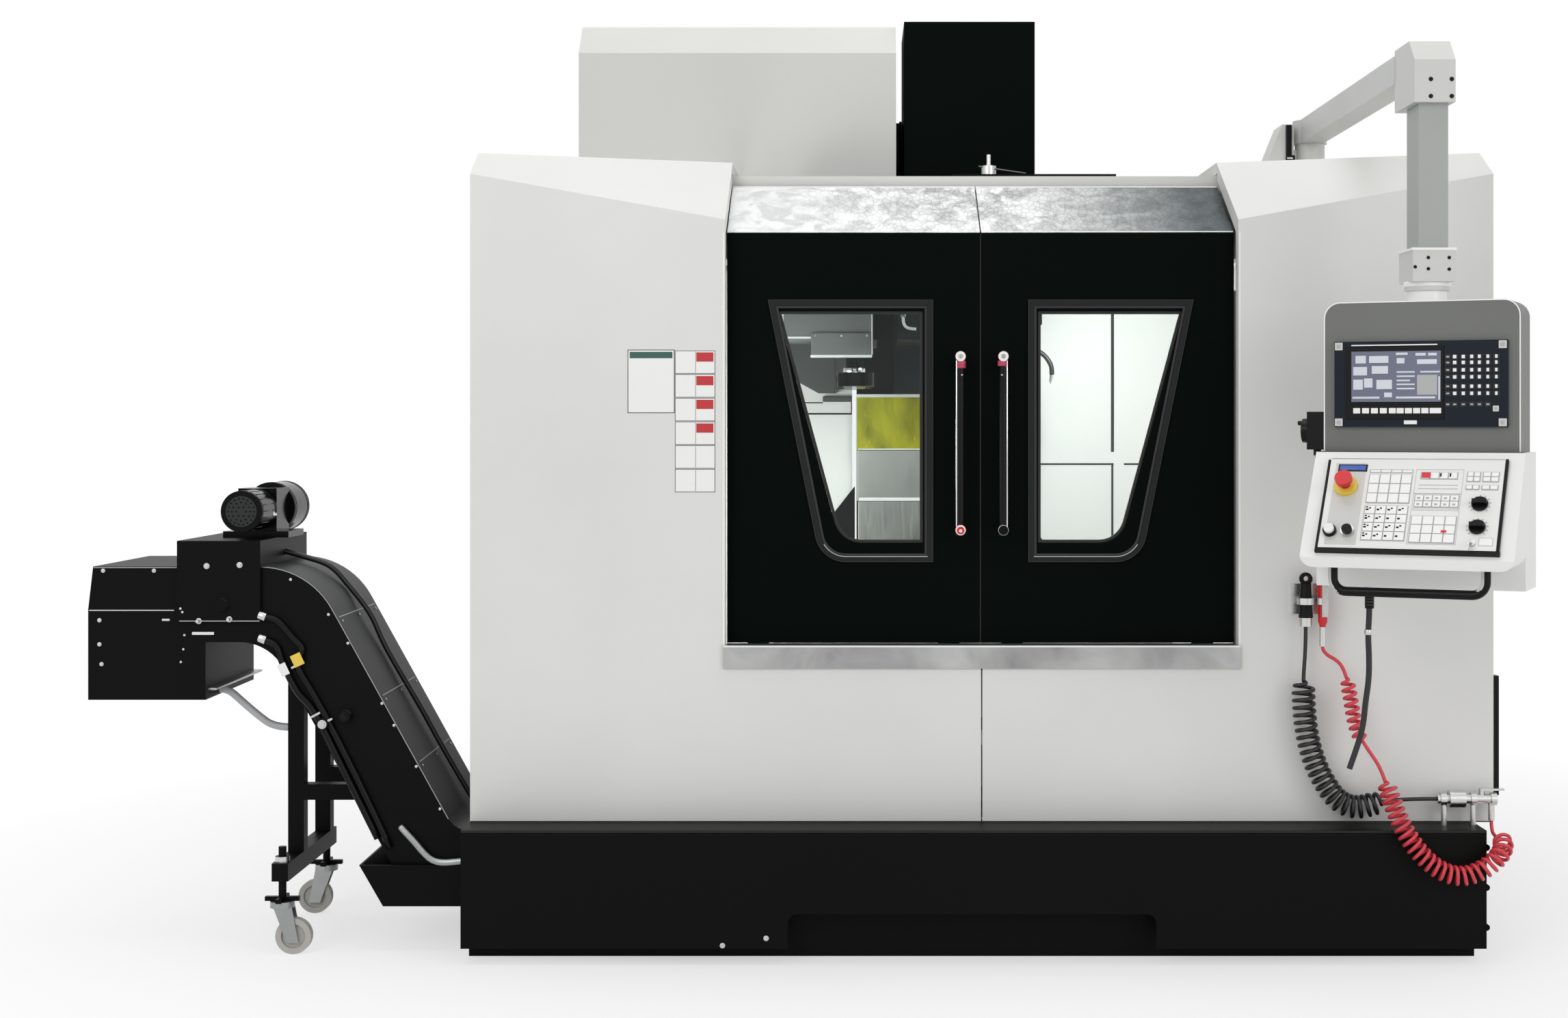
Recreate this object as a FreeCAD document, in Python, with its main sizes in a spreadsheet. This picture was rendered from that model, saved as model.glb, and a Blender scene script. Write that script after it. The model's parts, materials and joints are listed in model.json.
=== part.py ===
"""Vertical machining centre with sliding doors, swing-arm pendant and chip conveyor.

Millimetres. The origin lies on the floor, at the centre of the four anchor
holes of the bed. +X runs to the operator's right, +Y to the rear, +Z up.
"""
import FreeCAD, Part
import math
import os
import re

import Sketcher

Vector = FreeCAD.Vector
Rotation = FreeCAD.Rotation

# Driving dimensions. Depths are counted backwards from the plane of the covers' front faces.
SIZES = {
    # common clearances and sheet metal
    "front": -1200,            # Y of the front faces of the covers
    "wall": 5,                 # sheet thickness of guards
    "fit_gap": 0.3,            # between faces that slide, turn or seat
    "shaft_gap": 0.3,          # radial, between a shaft and its bore
    "cut_extra": 1,            # how far a cutting tool runs past a face
    # side covers
    "body_half": 1436,
    "door_half": 720,
    "skirt_top": 370,
    "cover_rise": 235,         # of the roof above the doors' bend
    "cover_depth": 1195,
    "edge_rise": 32,           # of the brow's inner end above the doors' bend
    "edge_climb": 128,
    "chamfer_depth": 375,
    "pocket_near": 40,
    "pocket_low": 830,
    "pocket_rise": 2,
    "pocket_bend": 360,
    "pocket_back_rise": 202,
    "rear_strip": 15,
    "seam_half": 2,
    "panel_top": 812,
    "panel_return": 45,
    # base skirt, chip tray
    "skirt_lap": 4,            # how far the skirt runs past the left cover
    "skirt_short": 56,         # how far it ends inside the right cover's edge
    "skirt_proud": 130,
    "skirt_depth": 1900,
    "skirt_low": 45,
    "bay_half": 760,
    "bay_far": 1860,
    "ledge_near": 20,
    "kick_set_back": 25,
    "notch_west": -540,
    "notch_east": 472,
    "notch_top": 140,
    "notch_radius": 25,
    "tray_reach": 312,         # of the chip tray past the skirt
    "tray_top": 245,
    "tray_low": 129,
    "tray_set_in": 67,
    "tray_margin": 20,
    "gate_margin": 10,
    "gate_head": 5,
    "hinge_radius": 9,
    "hinge_length": 34,
    "hinge_first": 55,
    "hinge_pitch": 110,
    "hinge_set_back": 15,
    # bed, feet, column
    "anchor_x": 520,
    "anchor_y": 500,
    "anchor_radius": 13,
    "foot_half": 75,
    "foot_height": 45,
    "bed_half": 620,
    "bed_shoulder": 200,
    "bed_top_half": 430,
    "bed_neck": 420,
    "bed_near": 600,
    "bed_far": 1820,
    "bed_top": 560,
    "nose_near": 180,
    "nose_low": 440,
    "nose_mid": 420,
    "nose_mid_low": 400,
    "nose_root_low": 350,
    "lug_height": 75,
    "lug_pocket": 90,
    "lug_pocket_high": 340,
    "core_half": 410,
    "core_top": 170,
    "core_margin": 60,
    "rail_width": 45,
    "rail_height": 40,
    "way_x": 300,
    "way_near": 190,
    "way_far": 1150,
    "spindle_x": -60,
    "spindle_depth": 700,
    "column_half": 290,
    "column_taper": 60,
    "column_near": 1240,
    "column_far": 1800,
    "column_top": 2500,
    "column_core_half": 200,
    "column_core_near": 1420,
    "column_core_low": 640,
    "column_core_pitch": 460,
    "column_rib": 70,
    "head_way_x": 125,
    "head_way_low": 960,
    "motor_radius": 80,
    "motor_height": 190,
    "motor_set_back": 95,
    # sill, roof beam
    "sill_half": 726,
    "sill_proud": 8,
    "sill_low": 802,
    "sill_top": 866,
    "sill_side_gap": 2,
    "track_near": 58,
    "track_far": 86,
    "track_low": 838,
    "track_top": 864,
    "beam_near": 376,
    "beam_far": 446,
    "beam_rise": 195,          # of the beam's top above the doors' bend
    "shelf_drop": 70,
    "lip_near": 110,
    "lip_height": 40,
    "roof_plate_west": -64,
    "roof_plate_east": 423,
    "roof_plate_thick": 8,
    "roof_plate_inset": 12,
    "roof_valve_radius": 22,
    "roof_valve_height": 26,
    "roof_stem_radius": 6,
    "roof_stem_height": 60,
    # work chamber
    "liner_half": 1150,
    "liner_near": 120,
    "liner_top": 1870,
    "liner_low": 515,
    "liner_chute_top": 700,
    "chute_inner": 650,
    "back_wall_gap": 5,
    "bay_west": -365,
    "bay_east": 245,
    "liner_return_inner": 725,
    # telescopic way covers under the head
    "shield_half": 282,
    "shield_sheet": 3,
    "shield_pitch": 170,
    "shield_overlap": 15,
    "shield_flange": 18,
    "shield_near": 1150,
    "shield_clear": 1,
    "head_low": 1586,
    # doors, windows, handles
    "door_near": 60,
    "door_thick": 30,
    "door_low": 868,
    "door_bend": 2030,
    "door_back": 352,
    "door_rise": 162,          # of the slanted top
    "door_sheet": 6,
    "door_top_drop": 10,       # of the slanted top's underside at its far edge
    "door_root_rise": 9,       # of the same underside over the panel
    "door_hem": 14,
    "frame_drop": 191,         # of the window frame below the door's bend
    "frame_high_to_low": 742,
    "frame_inner": 135,
    "frame_outer": 602,
    "frame_lean": 0.2,
    "frame_radius": 88,
    "frame_width": 16,
    "frame_proud": 8,
    "glass_drop": 222,
    "glass_high_to_low": 658,
    "glass_inner": 163,
    "glass_outer": 576,
    "glass_lean": 0.27,
    "glass_radius": 80,
    "glass_rebate": 12,
    "glass_thick": 8,
    "shoe_width": 60,
    "shoe_inset": 90,
    "hook_lift": 10,           # of the guide hook above the upper track
    "hook_height": 22,
    "handle_x": 60,
    "handle_low": 1174,
    "handle_high": 1690,
    "handle_proud": 60,
    "handle_radius": 11,
    "handle_cap_radius": 14,
    "handle_cap_length": 24,
    "handle_post_radius": 8,
    "handle_post_inset": 30,
    # head, spindle, head cover
    "head_half": 165,
    "head_near": 530,
    "nose_round": 20,
    "head_nose_low": 1740,
    "head_throat": 990,
    "head_root": 1090,
    "head_brow_low": 2120,
    "head_brow_depth": 640,
    "head_top": 2250,
    "spindle_radius": 60,
    "spindle_flange_radius": 88,
    "spindle_low": 1680,
    "spindle_nose_radius": 64,
    "spindle_nose_height": 25,
    "spindle_top": 2100,
    "socket_mouth": 35,
    "socket_root": 22,
    "socket_depth": 100,
    "head_motor_radius": 105,
    "head_motor_depth": 1000,
    "head_motor_height": 300,
    "hood_west": -200,
    "hood_east": 214,
    "hood_near": 800,
    "hood_far": 1190,
    "hood_top": 2762,
    # tool changer, magazine
    "magazine_west": -1226,
    "magazine_east": -226,
    "magazine_near": 760,
    "magazine_far": 1190,
    "magazine_brow": 391,      # heights above the roof
    "magazine_top": 490,
    "magazine_chamfer": 100,
    "magazine_rim": 26,
    "disc_x": -726,
    "disc_drop": 5,
    "disc_near": 880,
    "disc_thick": 40,
    "disc_radius": 285,
    "hub_radius": 60,
    "hub_near": 835,
    "hub_far": 970,
    "axle_radius": 30,
    "pot_radius": 30,
    "pot_inner": 265,
    "pot_outer": 375,
    "pot_count": 18,
    "cam_west": -576,
    "cam_east": -299,
    "cam_near": 620,
    "cam_low": 1750,
    "cam_shelf": 1860,
    "cam_step": 815,
    "cam_high": 2150,
    "bracket_near": 985,
    "bracket_far": 1005,
    "bracket_foot_east": -320,
    "bracket_head_west": -830,
    "bracket_head_east": -620,
    "bracket_rise": 95,        # of the magazine's bracket above the roof
    "arm_x": -357,
    "arm_low": 1600,
    "arm_high": 1640,
    "arm_reach": 297,
    "arm_half_width": 34,
    "arm_hub_radius": 55,
    "arm_shaft_radius": 30,
    "arm_end_radius": 60,
    "arm_jaw_radius": 34,
    "arm_flange_radius": 70,
    "arm_flange_height": 25,
    "pocket_box_west": -576,
    "pocket_box_east": -422,
    "pocket_box_near": 1080,
    "pocket_box_low": 1589,
    "pocket_box_slant": 55,
    # saddle, table
    "saddle_half": 420,
    "saddle_near": 480,
    "saddle_far": 920,
    "saddle_top": 740,
    "saddle_rail_near": 560,
    "saddle_rail_far": 840,
    "saddle_rail_height": 35,
    "table_half": 600,
    "table_near": 450,
    "table_far": 950,
    "table_top": 880,
    "slot_count": 5,
    "slot_pitch": 90,
    "slot_width": 18,
    "slot_depth": 36,
    "slot_foot_width": 30,
    "slot_foot_height": 14,
    # electrical cabinet
    "cabinet_west": 780,
    "cabinet_east": 1330,
    "cabinet_near": 1195,
    "cabinet_far": 1780,
    "cabinet_top": 2000,
    "cabinet_door_margin": 12,
    "cabinet_door_thick": 20,
    "cabinet_barrel": 8,
    "cabinet_frame": 30,
    "cabinet_shelf": 40,
    "cabinet_shelf_low": 160,
    "cabinet_latch_x": 60,
    "cabinet_latch_radius": 20,
    "cabinet_barrel_shift": 6,
    # pendant arm
    "boom_x": 1122,
    "boom_pivot_depth": 980,
    "boom_half": 37.5,
    "boom_low": 130,           # heights above the roof
    "boom_high": 205,
    "boom_hub_radius": 55,
    "boom_post_radius": 48,
    "boom_base_radius": 70,
    "boom_base_height": 20,
    "housing_west": 945,
    "housing_top_west": 1020,
    "housing_east": 1058,
    "housing_near": 915,
    "housing_far": 1055,
    "housing_high": 187,
    "elbow_west": 1088,
    "elbow_east": 1194,
    "elbow_near": -500,
    "elbow_far": -290,
    "elbow_low": 54,
    "elbow_high": 220,
    "elbow_chamfer": 56,
    "drop_west": 1103,
    "drop_east": 1180,
    "drop_near": -480,
    "drop_far": -360,
    "flange_west": 1086,
    "flange_east": 1197,
    "flange_near": -490,
    "flange_far": -346,
    "flange_high": 1939,
    "flange_low": 1857,
    "swivel_x": 1141,
    "swivel_depth": -420,
    "neck_radius": 58,
    "neck_low": 1835,
    # pendant, measured from its swivel axis
    "yaw": -25,
    "case_half": 250,
    "case_near": -90,
    "case_far": 70,
    "case_low": 1415,
    "case_high": 1806,
    "case_radius": 42,
    "collar_radius": 50,
    "screen_half": 220,
    "screen_low": 1480,
    "screen_high": 1702,
    "screen_proud": 12,
    "console_half": 265,
    "console_top_near": -112,
    "console_lip": -300,
    "console_lip_high": 1150,
    "console_lip_low": 1125,
    "console_step": -110,
    "console_low": 1065,
    "console_radius": 34,
    "grip_half": 190,
    "grip_y": -250,
    "grip_low": 1062,
    "grip_radius": 12,
    "grip_bend": 34,
    "gland_x": -150,
    "gland_radius": 14,
    "gland_height": 20,
    "dial_box_west": -300,
    "dial_box_near": -72,
    "dial_box_far": 22,
    "dial_box_low": 1420,
    "dial_box_high": 1520,
    "dial_radius": 32,
    "dial_thick": 20,
    "dial_grip_radius": 6,
    "dial_grip_offset": 20,
    "dial_grip_length": 14,
    # operator panel, measured in the plane of the desk
    "desk_half": 220,
    "desk_rise": 137,
    "desk_thick": 8,
    "ring_height": 10,
    "stop_u": -171,
    "stop_v": 48,
    "stop_ring": 30,
    "stop_stem": 12,
    "stop_cap": 22,
    "stop_stroke": 6,
    "stop_cap_low": 24,
    "stop_cap_high": 38,
    "button_v": -89,
    "start_u": -195,
    "halt_u": -150,
    "button_ring": 17,
    "button_radius": 13,
    "button_stroke": 4,
    "button_high": 14,
    "knob_u": 169,
    "feed_v": 0,
    "speed_v": -69,
    "knob_radius": 20,
    "knob_height": 18,
    "knob_skirt": 6,
    "knob_ridge": 18,
    "knob_rib": 6,
    "key_u": 160,
    "key_v": -118,
    "key_radius": 9,
    "key_height": 8,
    # guns and their holders
    "gun_axis": -45,
    "gun_x": 900,
    "gun_low": 948,
    "gun_high": 1043,
    "gun_low_radius": 20,
    "gun_high_radius": 15,
    "gun_grip_radius": 18,     # where the holder clasps the wash gun
    "gun_ring_radius": 18,
    "gun_ring_rise": 13,
    "gun_hole_rise": 14,
    "gun_ring_hole": 7,
    "gun_ring_thick": 12,
    "gun_collar_low": 924,
    "gun_collar_radius": 17,
    "blow_x": 947,
    "blow_low": 922,
    "blow_high": 1058,
    "blow_radius": 13,
    "blow_tip_radius": 8,
    "nozzle_radius": 3,
    "nozzle_root": 4.5,
    "nozzle_high": 1150,
    "fitting_low": 868,
    "fitting_radius": 9,
    "holder_low": 985,
    "holder_high": 1003,
    "holder_ring": 6,
    "holder_plate_west": 866,
    "holder_plate_east": 972,
    "holder_plate_low": 955,
    "holder_plate_high": 1040,
    "holder_plate_thick": 4,
    "lever_lug_high": 1048,
    "lever_lug_low": 1036,
    "lever_low": 952,
    "lever_half": 8,
    "lever_thick": 4,
    "lever_offset": 26,
    "lever_barrel": 4,
    # air manifold
    "manifold_axis": -45,
    "manifold_z": 443,
    "manifold_start": 170,     # distances from the cover's outer edge
    "manifold_end": 6,
    "manifold_radius": 13,
    "manifold_nut_radius": 18,
    "manifold_nut_length": 16,
    "bowl_start": 138,
    "bowl_end": 94,
    "bowl_radius": 24,
    "riser_first": 151,
    "riser_second": 70,
    "riser_radius": 8,
    "outlet_x": 19,
    "outlet_low": 384,
    "outlet_radius": 9,
    "valve_x": 46,
    "valve_neck": 8,
    "valve_neck_height": 10,
    "valve_arm_length": 62,
    "valve_arm_half": 6,
    "valve_arm_thick": 6,
    # chip conveyor
    "trough_near": 40,
    "trough_far": 540,
    "trough_sheet": 6,
    "trough_tail": 1250,
    "trough_high": 340,
    "runner_west": -1300,
    "runner_east": 1100,
    "runner_near": 100,
    "runner_far": 455,
    "runner_width": 25,
    "trough_open_west": -720,
    "trough_open_east": 1180,
    "lift_angle": 61,
    "trough_thick": 203,
    "crest_x": -1898,
    "run_top": 1085,
    "run_low": 871,
    "crest_outer_radius": 233,
    "crest_inner_radius": 140,
    "foot_outer_radius": 120,
    "foot_inner_radius": 60,
    "chute_west": -2522,
    "chute_east": -2190,
    "chute_low": 708,
    "chute_shoulder": 963,
    "chute_set_in": 14,
    "drive_west": -2267,
    "drive_east": -2032,
    "drive_low": 929,
    "drive_high": 1146,
    "drive_proud": 14,
    "drive_lid_high": 1158,
    "shaft_x": -2140,
    "shaft_z": 978,
    "shaft_radius": 18,
    "sprocket_radius": 70,
    "sprocket_thick": 16,
    "sprocket_near": 80,
    "sprocket_far": 484,
    "belt_inset": 24,
    "belt_thick": 9,
    "belt_side_gap": 22,
    "belt_tail": 1210,
    "motor_z": 1239,
    "motor_x": -2095,
    "motor_front_radius": 58,
    "motor_front_near": 60,
    "motor_front_far": 230,
    "motor_rear_radius": 74,
    "motor_rear_near": 370,
    "motor_rear_far": 545,
    "gearbox_half": 56,
    "gearbox_low": 1176,
    "gearbox_high": 1300,
    "motor_foot_half": 95,
    "motor_foot_thick": 18,
    "boss_x": -1855,
    "boss_z": 642,
    "boss_radius": 17,
    "boss_length": 26,
    "boss_pitch": 62,
    "boss_step": 22,
    # conveyor frame and castors
    "leg_x": -1965,
    "leg_half": 23,
    "beam_low": 207,
    "beam_high": 257,
    "beam_front": -20,
    "beam_back": 560,
    "post_near": 160,
    "post_far": 480,
    "post_width": 45,
    "brace_low": 405,
    "brace_high": 450,
    "brace_reach": 330,
    "post_reach": 900,
    "screw_near": 10,
    "screw_far": 530,
    "screw_radius": 11,
    "screw_high": 300,
    "screw_nut_radius": 20,
    "screw_nut_height": 16,
    "star_half": 48,
    "star_width": 16,
    "star_low": 148,
    "star_high": 160,
    "caster_plate_radius": 34,
    "caster_plate_high": 147.7,
    "caster_plate_low": 130,
    "caster_trail": 33,
    "wheel_radius": 50,
    "wheel_half": 14,
    "wheel_groove": 34,
    "fork_gap": 2,
    "fork_sheet": 4,
    "fork_half": 17,
    "fork_top_half": 27,
    "fork_pin_radius": 5,
    # hoses and cable
    "wash_hose_radius": 5.5,
    "air_hose_radius": 5,
    "drain_hose_radius": 11,
    "cable_radius": 8,
}
SLOPE = "((cover_rise - edge_rise) / chamfer_depth)"
ROOF = "(door_bend + cover_rise)"
BEAM = "(door_bend + beam_rise)"
WEST = "(-body_half - skirt_lap)"
EAST = "(body_half - skirt_short)"
TRAY = f"({WEST} - tray_reach)"
SHELF = "(door_bend - shelf_drop)"
RUN_SHARE = 0.45             # of a run that the arc at one end of it may take
CURL_SIDES = 6               # sides of the curly hoses' section
TUBE_SIDES = 8
TURNS = {"X": (Vector(0, 1, 0), 90), "Y": (Vector(1, 0, 0), -90), "Z": (Vector(0, 0, 1), 0)}

doc = FreeCAD.newDocument("machining_centre")
sheet = doc.addObject("Spreadsheet::Sheet", "Sizes")
for row, (alias, number) in enumerate(SIZES.items(), start=1):
    sheet.set(f"A{row}", alias)
    sheet.set(f"B{row}", str(number))
    sheet.setAlias(f"B{row}", alias)
doc.recompute()
NODES = []


def bound(text):
    """An expression in which every size name refers to its cell."""
    return re.sub(r"[a-z][a-z_]+", lambda word: "Sizes." + word.group()
                  if word.group() in SIZES else word.group(), str(text))


def value(text):
    """The present value of an expression of size names."""
    result = sheet.evalExpression(bound(text))
    return float(getattr(result, "Value", result))


def node(label, piece):
    """Name a finished sub-part."""
    piece.Label = label
    NODES.append(piece)
    return piece


def seat(piece, spot):
    """Bind the base point of a piece's placement."""
    for axis, text in zip("xyz", spot):
        piece.setExpression(f".Placement.Base.{axis}", bound(text))
    return piece


def block(west, east, near, far, low, high):
    """A rectangular block between six planes."""
    piece = doc.addObject("Part::Box", "Block")
    for name, start, end in (("Length", west, east), ("Width", near, far), ("Height", low, high)):
        piece.setExpression(name, bound(f"({end}) - ({start})"))
    return seat(piece, (west, near, low))


def rod(axis, first, second, start, end, radius):
    """A cylinder along an axis; first and second place its centre line on the other two."""
    piece = doc.addObject("Part::Cylinder", "Rod")
    piece.Placement = FreeCAD.Placement(Vector(), Rotation(*TURNS[axis]))
    piece.setExpression("Radius", bound(radius))
    piece.setExpression("Height", bound(f"({end}) - ({start})"))
    spots = {"X": (start, first, second), "Y": (first, start, second), "Z": (first, second, start)}
    return seat(piece, spots[axis])


def cone(first, second, start, end, low_radius, high_radius):
    """An upright cone."""
    piece = doc.addObject("Part::Cone", "Cone")
    piece.setExpression("Radius1", bound(low_radius))
    piece.setExpression("Radius2", bound(high_radius))
    piece.setExpression("Height", bound(f"({end}) - ({start})"))
    return seat(piece, (first, second, start))


def outline(body, plane, points, offset):
    """A closed sketch of straight sides whose corners are bound to the sizes."""
    sketch = body.newObject("Sketcher::SketchObject", "Outline")
    planes = [item for item in body.Origin.OriginFeatures if item.Role == plane + "_Plane"]
    sketch.AttachmentSupport = [(planes[0], "")]
    sketch.MapMode = "FlatFace"
    sketch.setExpression(".AttachmentOffset.Base.z", bound(offset))
    spots = [Vector(value(first), value(second), 0) for first, second in points]
    for number, spot in enumerate(spots):
        sketch.addGeometry(Part.LineSegment(spot, spots[(number + 1) % len(spots)]))
    for number, (first, second) in enumerate(points):
        joint = Sketcher.Constraint("Coincident", number, 2, (number + 1) % len(points), 1)
        sketch.addConstraint(joint)
        distances = (("DistanceX", first, spots[number].x), ("DistanceY", second, spots[number].y))
        for kind, text, reach in distances:
            place = sketch.addConstraint(Sketcher.Constraint(kind, -1, 1, number, 1, reach))
            sketch.setExpression(f"Constraints[{place}]", bound(text))
    return sketch


def rounded(body, feature, plane, corner, radius):
    """Fillet the edge of a pad that stands on one corner of its outline."""
    first, second = {"XY": ("x", "y"), "XZ": ("x", "z"), "YZ": ("y", "z")}[plane]
    spot = (value(corner[0]), value(corner[1]))
    names = []
    for number, edge in enumerate(feature.Shape.Edges, start=1):
        ends = [item.Point for item in edge.Vertexes]
        near = [math.dist((getattr(end, first), getattr(end, second)), spot) < 0.01 for end in ends]
        if len(ends) == 2 and all(near):
            names.append(f"Edge{number}")
    fillet = body.newObject("PartDesign::Fillet", "Round")
    fillet.Base = (feature, names)
    fillet.setExpression("Radius", bound(radius))
    doc.recompute()
    return fillet


def profile(plane, points, start, end, corners=None):
    """A padded outline between two planes, with the listed corners rounded."""
    body = doc.addObject("PartDesign::Body", "Profile")
    offset = f"-({end})" if plane == "XZ" else start
    sketch = outline(body, plane, points, offset)
    pad = body.newObject("PartDesign::Pad", "Pad")
    pad.Profile = sketch
    pad.setExpression("Length", bound(f"({end}) - ({start})"))
    doc.recompute()
    feature = pad
    for number, radius in (corners or {}).items():
        feature = rounded(body, feature, plane, points[number], radius)
    return body


def loft(plane, points, start, other_points, end):
    """A ruled loft between two outlines on parallel planes."""
    body = doc.addObject("PartDesign::Body", "Loft")
    first = outline(body, plane, points, start)
    last = outline(body, plane, other_points, end)
    feature = body.newObject("PartDesign::AdditiveLoft", "Skin")
    feature.Profile = first
    feature.Sections = [last]
    feature.Ruled = True
    doc.recompute()
    return body


def turned(points, spot, axis="Z"):
    """A revolved outline of (radius, height) points, standing on a spot."""
    body = doc.addObject("PartDesign::Body", "Turned")
    sketch = outline(body, "XZ", points, 0)
    turn = body.newObject("PartDesign::Revolution", "Turn")
    turn.Profile = sketch
    turn.ReferenceAxis = (sketch, ["V_Axis"])
    turn.Angle = 360
    body.Placement = FreeCAD.Placement(Vector(), Rotation(*TURNS[axis]))
    return seat(body, spot)


def fused(*pieces):
    """One solid of several that meet."""
    piece = doc.addObject("Part::MultiFuse", "Fused")
    piece.Shapes = list(pieces)
    piece.Refine = True
    return piece


def cut(base, *tools):
    """A piece with other pieces cut away."""
    piece = doc.addObject("Part::Cut", "Cut")
    piece.Base = base
    piece.Tool = tools[0] if len(tools) == 1 else fused(*tools)
    piece.Refine = True
    return piece


def grouped(*pieces):
    """Separate solids kept as one sub-part."""
    piece = doc.addObject("Part::Compound", "Group")
    piece.Links = list(pieces)
    return piece


def shaped(name, shape):
    """A shape that is swept by its own rule, taken into the document."""
    piece = doc.addObject("Part::Feature", name)
    piece.Shape = shape
    return piece


def depth(text):
    """Y of a depth counted from the covers' front faces."""
    return f"front + ({text})"


def span(side, inner, outer):
    """The two X planes between two distances from the middle, on one side."""
    return (inner, outer) if side > 0 else (f"-({outer})", f"-({inner})")


def bent_path(spots, bend=None):
    """Straight runs joined by arcs of one radius, or each as large as its shorter run allows."""
    edges = []
    radii = []
    start = spots[0]
    for before, corner, after in zip(spots, spots[1:], spots[2:]):
        back = before - corner
        ahead = after - corner
        half_turn = (math.pi - back.getAngle(ahead)) / 2
        room = RUN_SHARE * min(back.Length, ahead.Length)
        radius = bend or room / math.tan(half_turn)
        reach = radius * math.tan(half_turn)
        radii.append(radius)
        back.normalize()
        ahead.normalize()
        inward = back + ahead
        inward.normalize()
        middle = corner + inward * (radius / math.cos(half_turn) - radius)
        edges.append(Part.LineSegment(start, corner + back * reach).toShape())
        edges.append(Part.Arc(corner + back * reach, middle, corner + ahead * reach).toShape())
        start = corner + ahead * reach
    edges.append(Part.LineSegment(start, spots[-1]).toShape())
    return Part.Wire(edges), radii


def ring(spot, way, radius, sides):
    """A polygon about a point, square to a way that runs across the depth."""
    first = Vector(0, 1, 0)
    second = first.cross(way).normalize()
    corners = []
    for side in range(sides + 1):
        angle = 2 * math.pi * side / sides
        corners.append(spot + first * radius * math.cos(angle) + second * radius * math.sin(angle))
    return Part.makePolygon(corners)


def tube(label, points, radius):
    """A cable or hose along a route of points."""
    spots = [Vector(*point) for point in points]
    path, radii = bent_path(spots)
    solid = path.makePipeShell([ring(spots[0], spots[1] - spots[0], radius, TUBE_SIDES)],
                               True, False)
    print(label, "length", round(path.Length), "radii", [round(item) for item in radii])
    return shaped(label, solid)


def along(path):
    """A function that gives the place and direction at a distance along a wire."""
    edges = path.OrderedEdges
    lengths = [edge.Length for edge in edges]

    def station(reach):
        for edge, length in zip(edges, lengths):
            if reach <= length:
                break
            reach -= length
        place = edge.getParameterByLength(min(reach, length))
        return edge.valueAt(place), edge.tangentAt(place)
    return station


def biarc(start, leaving, end, arriving):
    """Two arcs that join two points along their two directions."""
    chord = end - start
    spread = 2 * (1 - leaving.dot(arriving))
    slope = chord.dot(leaving + arriving)
    if spread < 1e-9:
        reach = chord.dot(chord) / (2 * slope)
    else:
        reach = (math.sqrt(slope ** 2 + spread * chord.dot(chord)) - slope) / spread
    joint = (start + leaving * reach + end - arriving * reach) * 0.5
    edges = []
    for first, corner, last in ((start, start + leaving * reach, joint),
                                (joint, end - arriving * reach, end)):
        middle = (first + last) * 0.5
        rise = corner - middle
        half = (last - first).Length / 2
        if rise.Length < half / 1000:
            edges.append(Part.LineSegment(first, last).toShape())
            continue
        bulge = half * math.tan(math.atan2(rise.Length, half) / 2)
        rise.normalize()
        edges.append(Part.Arc(first, middle + rise * bulge, last).toShape())
    return edges


def curly_hose(label, points, windings, radius):
    """A hose with curls; each winding is (start, end, turns, coil radius) along the route."""
    path, _ = bent_path([Vector(*point) for point in points])
    station = along(path)

    def centre(reach):
        place, forward = station(min(max(reach, 0), path.Length))
        outward = Vector(0, 1, 0) - forward * forward.y
        outward.normalize()
        for start, end, turns, coil in windings:
            if start < reach < end:
                turn = turns * (reach - start) / (end - start)
                ramp = min(1, turn, turns - turn)
                swell = coil * ramp * ramp * (3 - 2 * ramp)
                angle = 2 * math.pi * turn
                aside = outward * math.cos(angle) + forward.cross(outward) * math.sin(angle)
                return place + aside * swell
        return place

    reaches = [0, 2 * radius]
    for start, end, turns, coil in windings:
        reaches += [start + (end - start) * step / (2 * turns) for step in range(2 * turns + 1)]
    reaches += [path.Length - 2 * radius, path.Length]
    spots = [centre(reach) for reach in reaches]
    nudge = radius / 100
    ways = []
    for reach in reaches:
        way = centre(reach + nudge) - centre(reach - nudge)
        way.normalize()
        ways.append(way)
    edges = []
    for number in range(len(spots) - 1):
        edges += biarc(spots[number], ways[number], spots[number + 1], ways[number + 1])
    line = Part.Wire(edges)
    tightest = min(edge.Curve.Radius for edge in line.Edges if hasattr(edge.Curve, "Radius"))
    solid = line.makePipeShell([ring(spots[0], ways[0], radius, CURL_SIDES)], True, False)
    print(label, "route", round(path.Length), "length", round(line.Length),
          "tightest bend", round(tightest, 1),
          "least gap to itself", round(least_gap(line, radius, windings), 2))
    return shaped(label, solid)


def least_gap(line, radius, windings):
    """The least gap between a hose and its own neighbouring turns, measured on points."""
    coil = min(winding[3] for winding in windings)
    spots = line.discretize(Distance=radius)
    apart = int(math.pi * coil / radius)
    reach = int(4 * math.pi * max(winding[3] for winding in windings) / radius)
    gaps = [spot.distanceToPoint(other) for number, spot in enumerate(spots)
            for other in spots[number + apart:number + reach]]
    return min(gaps) - 2 * radius


# ---------------------------------------------------------------- enclosure

def cover_section(reach, inset):
    """Side view of a cover at a distance from the middle, drawn in by its wall."""
    edge = (f"(door_bend + edge_rise + edge_climb * (({reach}) - door_half)"
            f" / (body_half - door_half))")
    drop = f"({inset}) * sqrt(1 + {SLOPE} ^ 2)"
    return [(depth(inset), f"skirt_top + {inset}"),
            (depth(f"cover_depth - {inset}"), f"skirt_top + {inset}"),
            (depth(f"cover_depth - {inset}"), f"{ROOF} - {inset}"),
            (depth(f"({ROOF} - {inset} - {edge} + {drop}) / {SLOPE}"), f"{ROOF} - {inset}"),
            (depth(inset), f"{edge} + {SLOPE} * {inset} - {drop}")]


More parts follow.
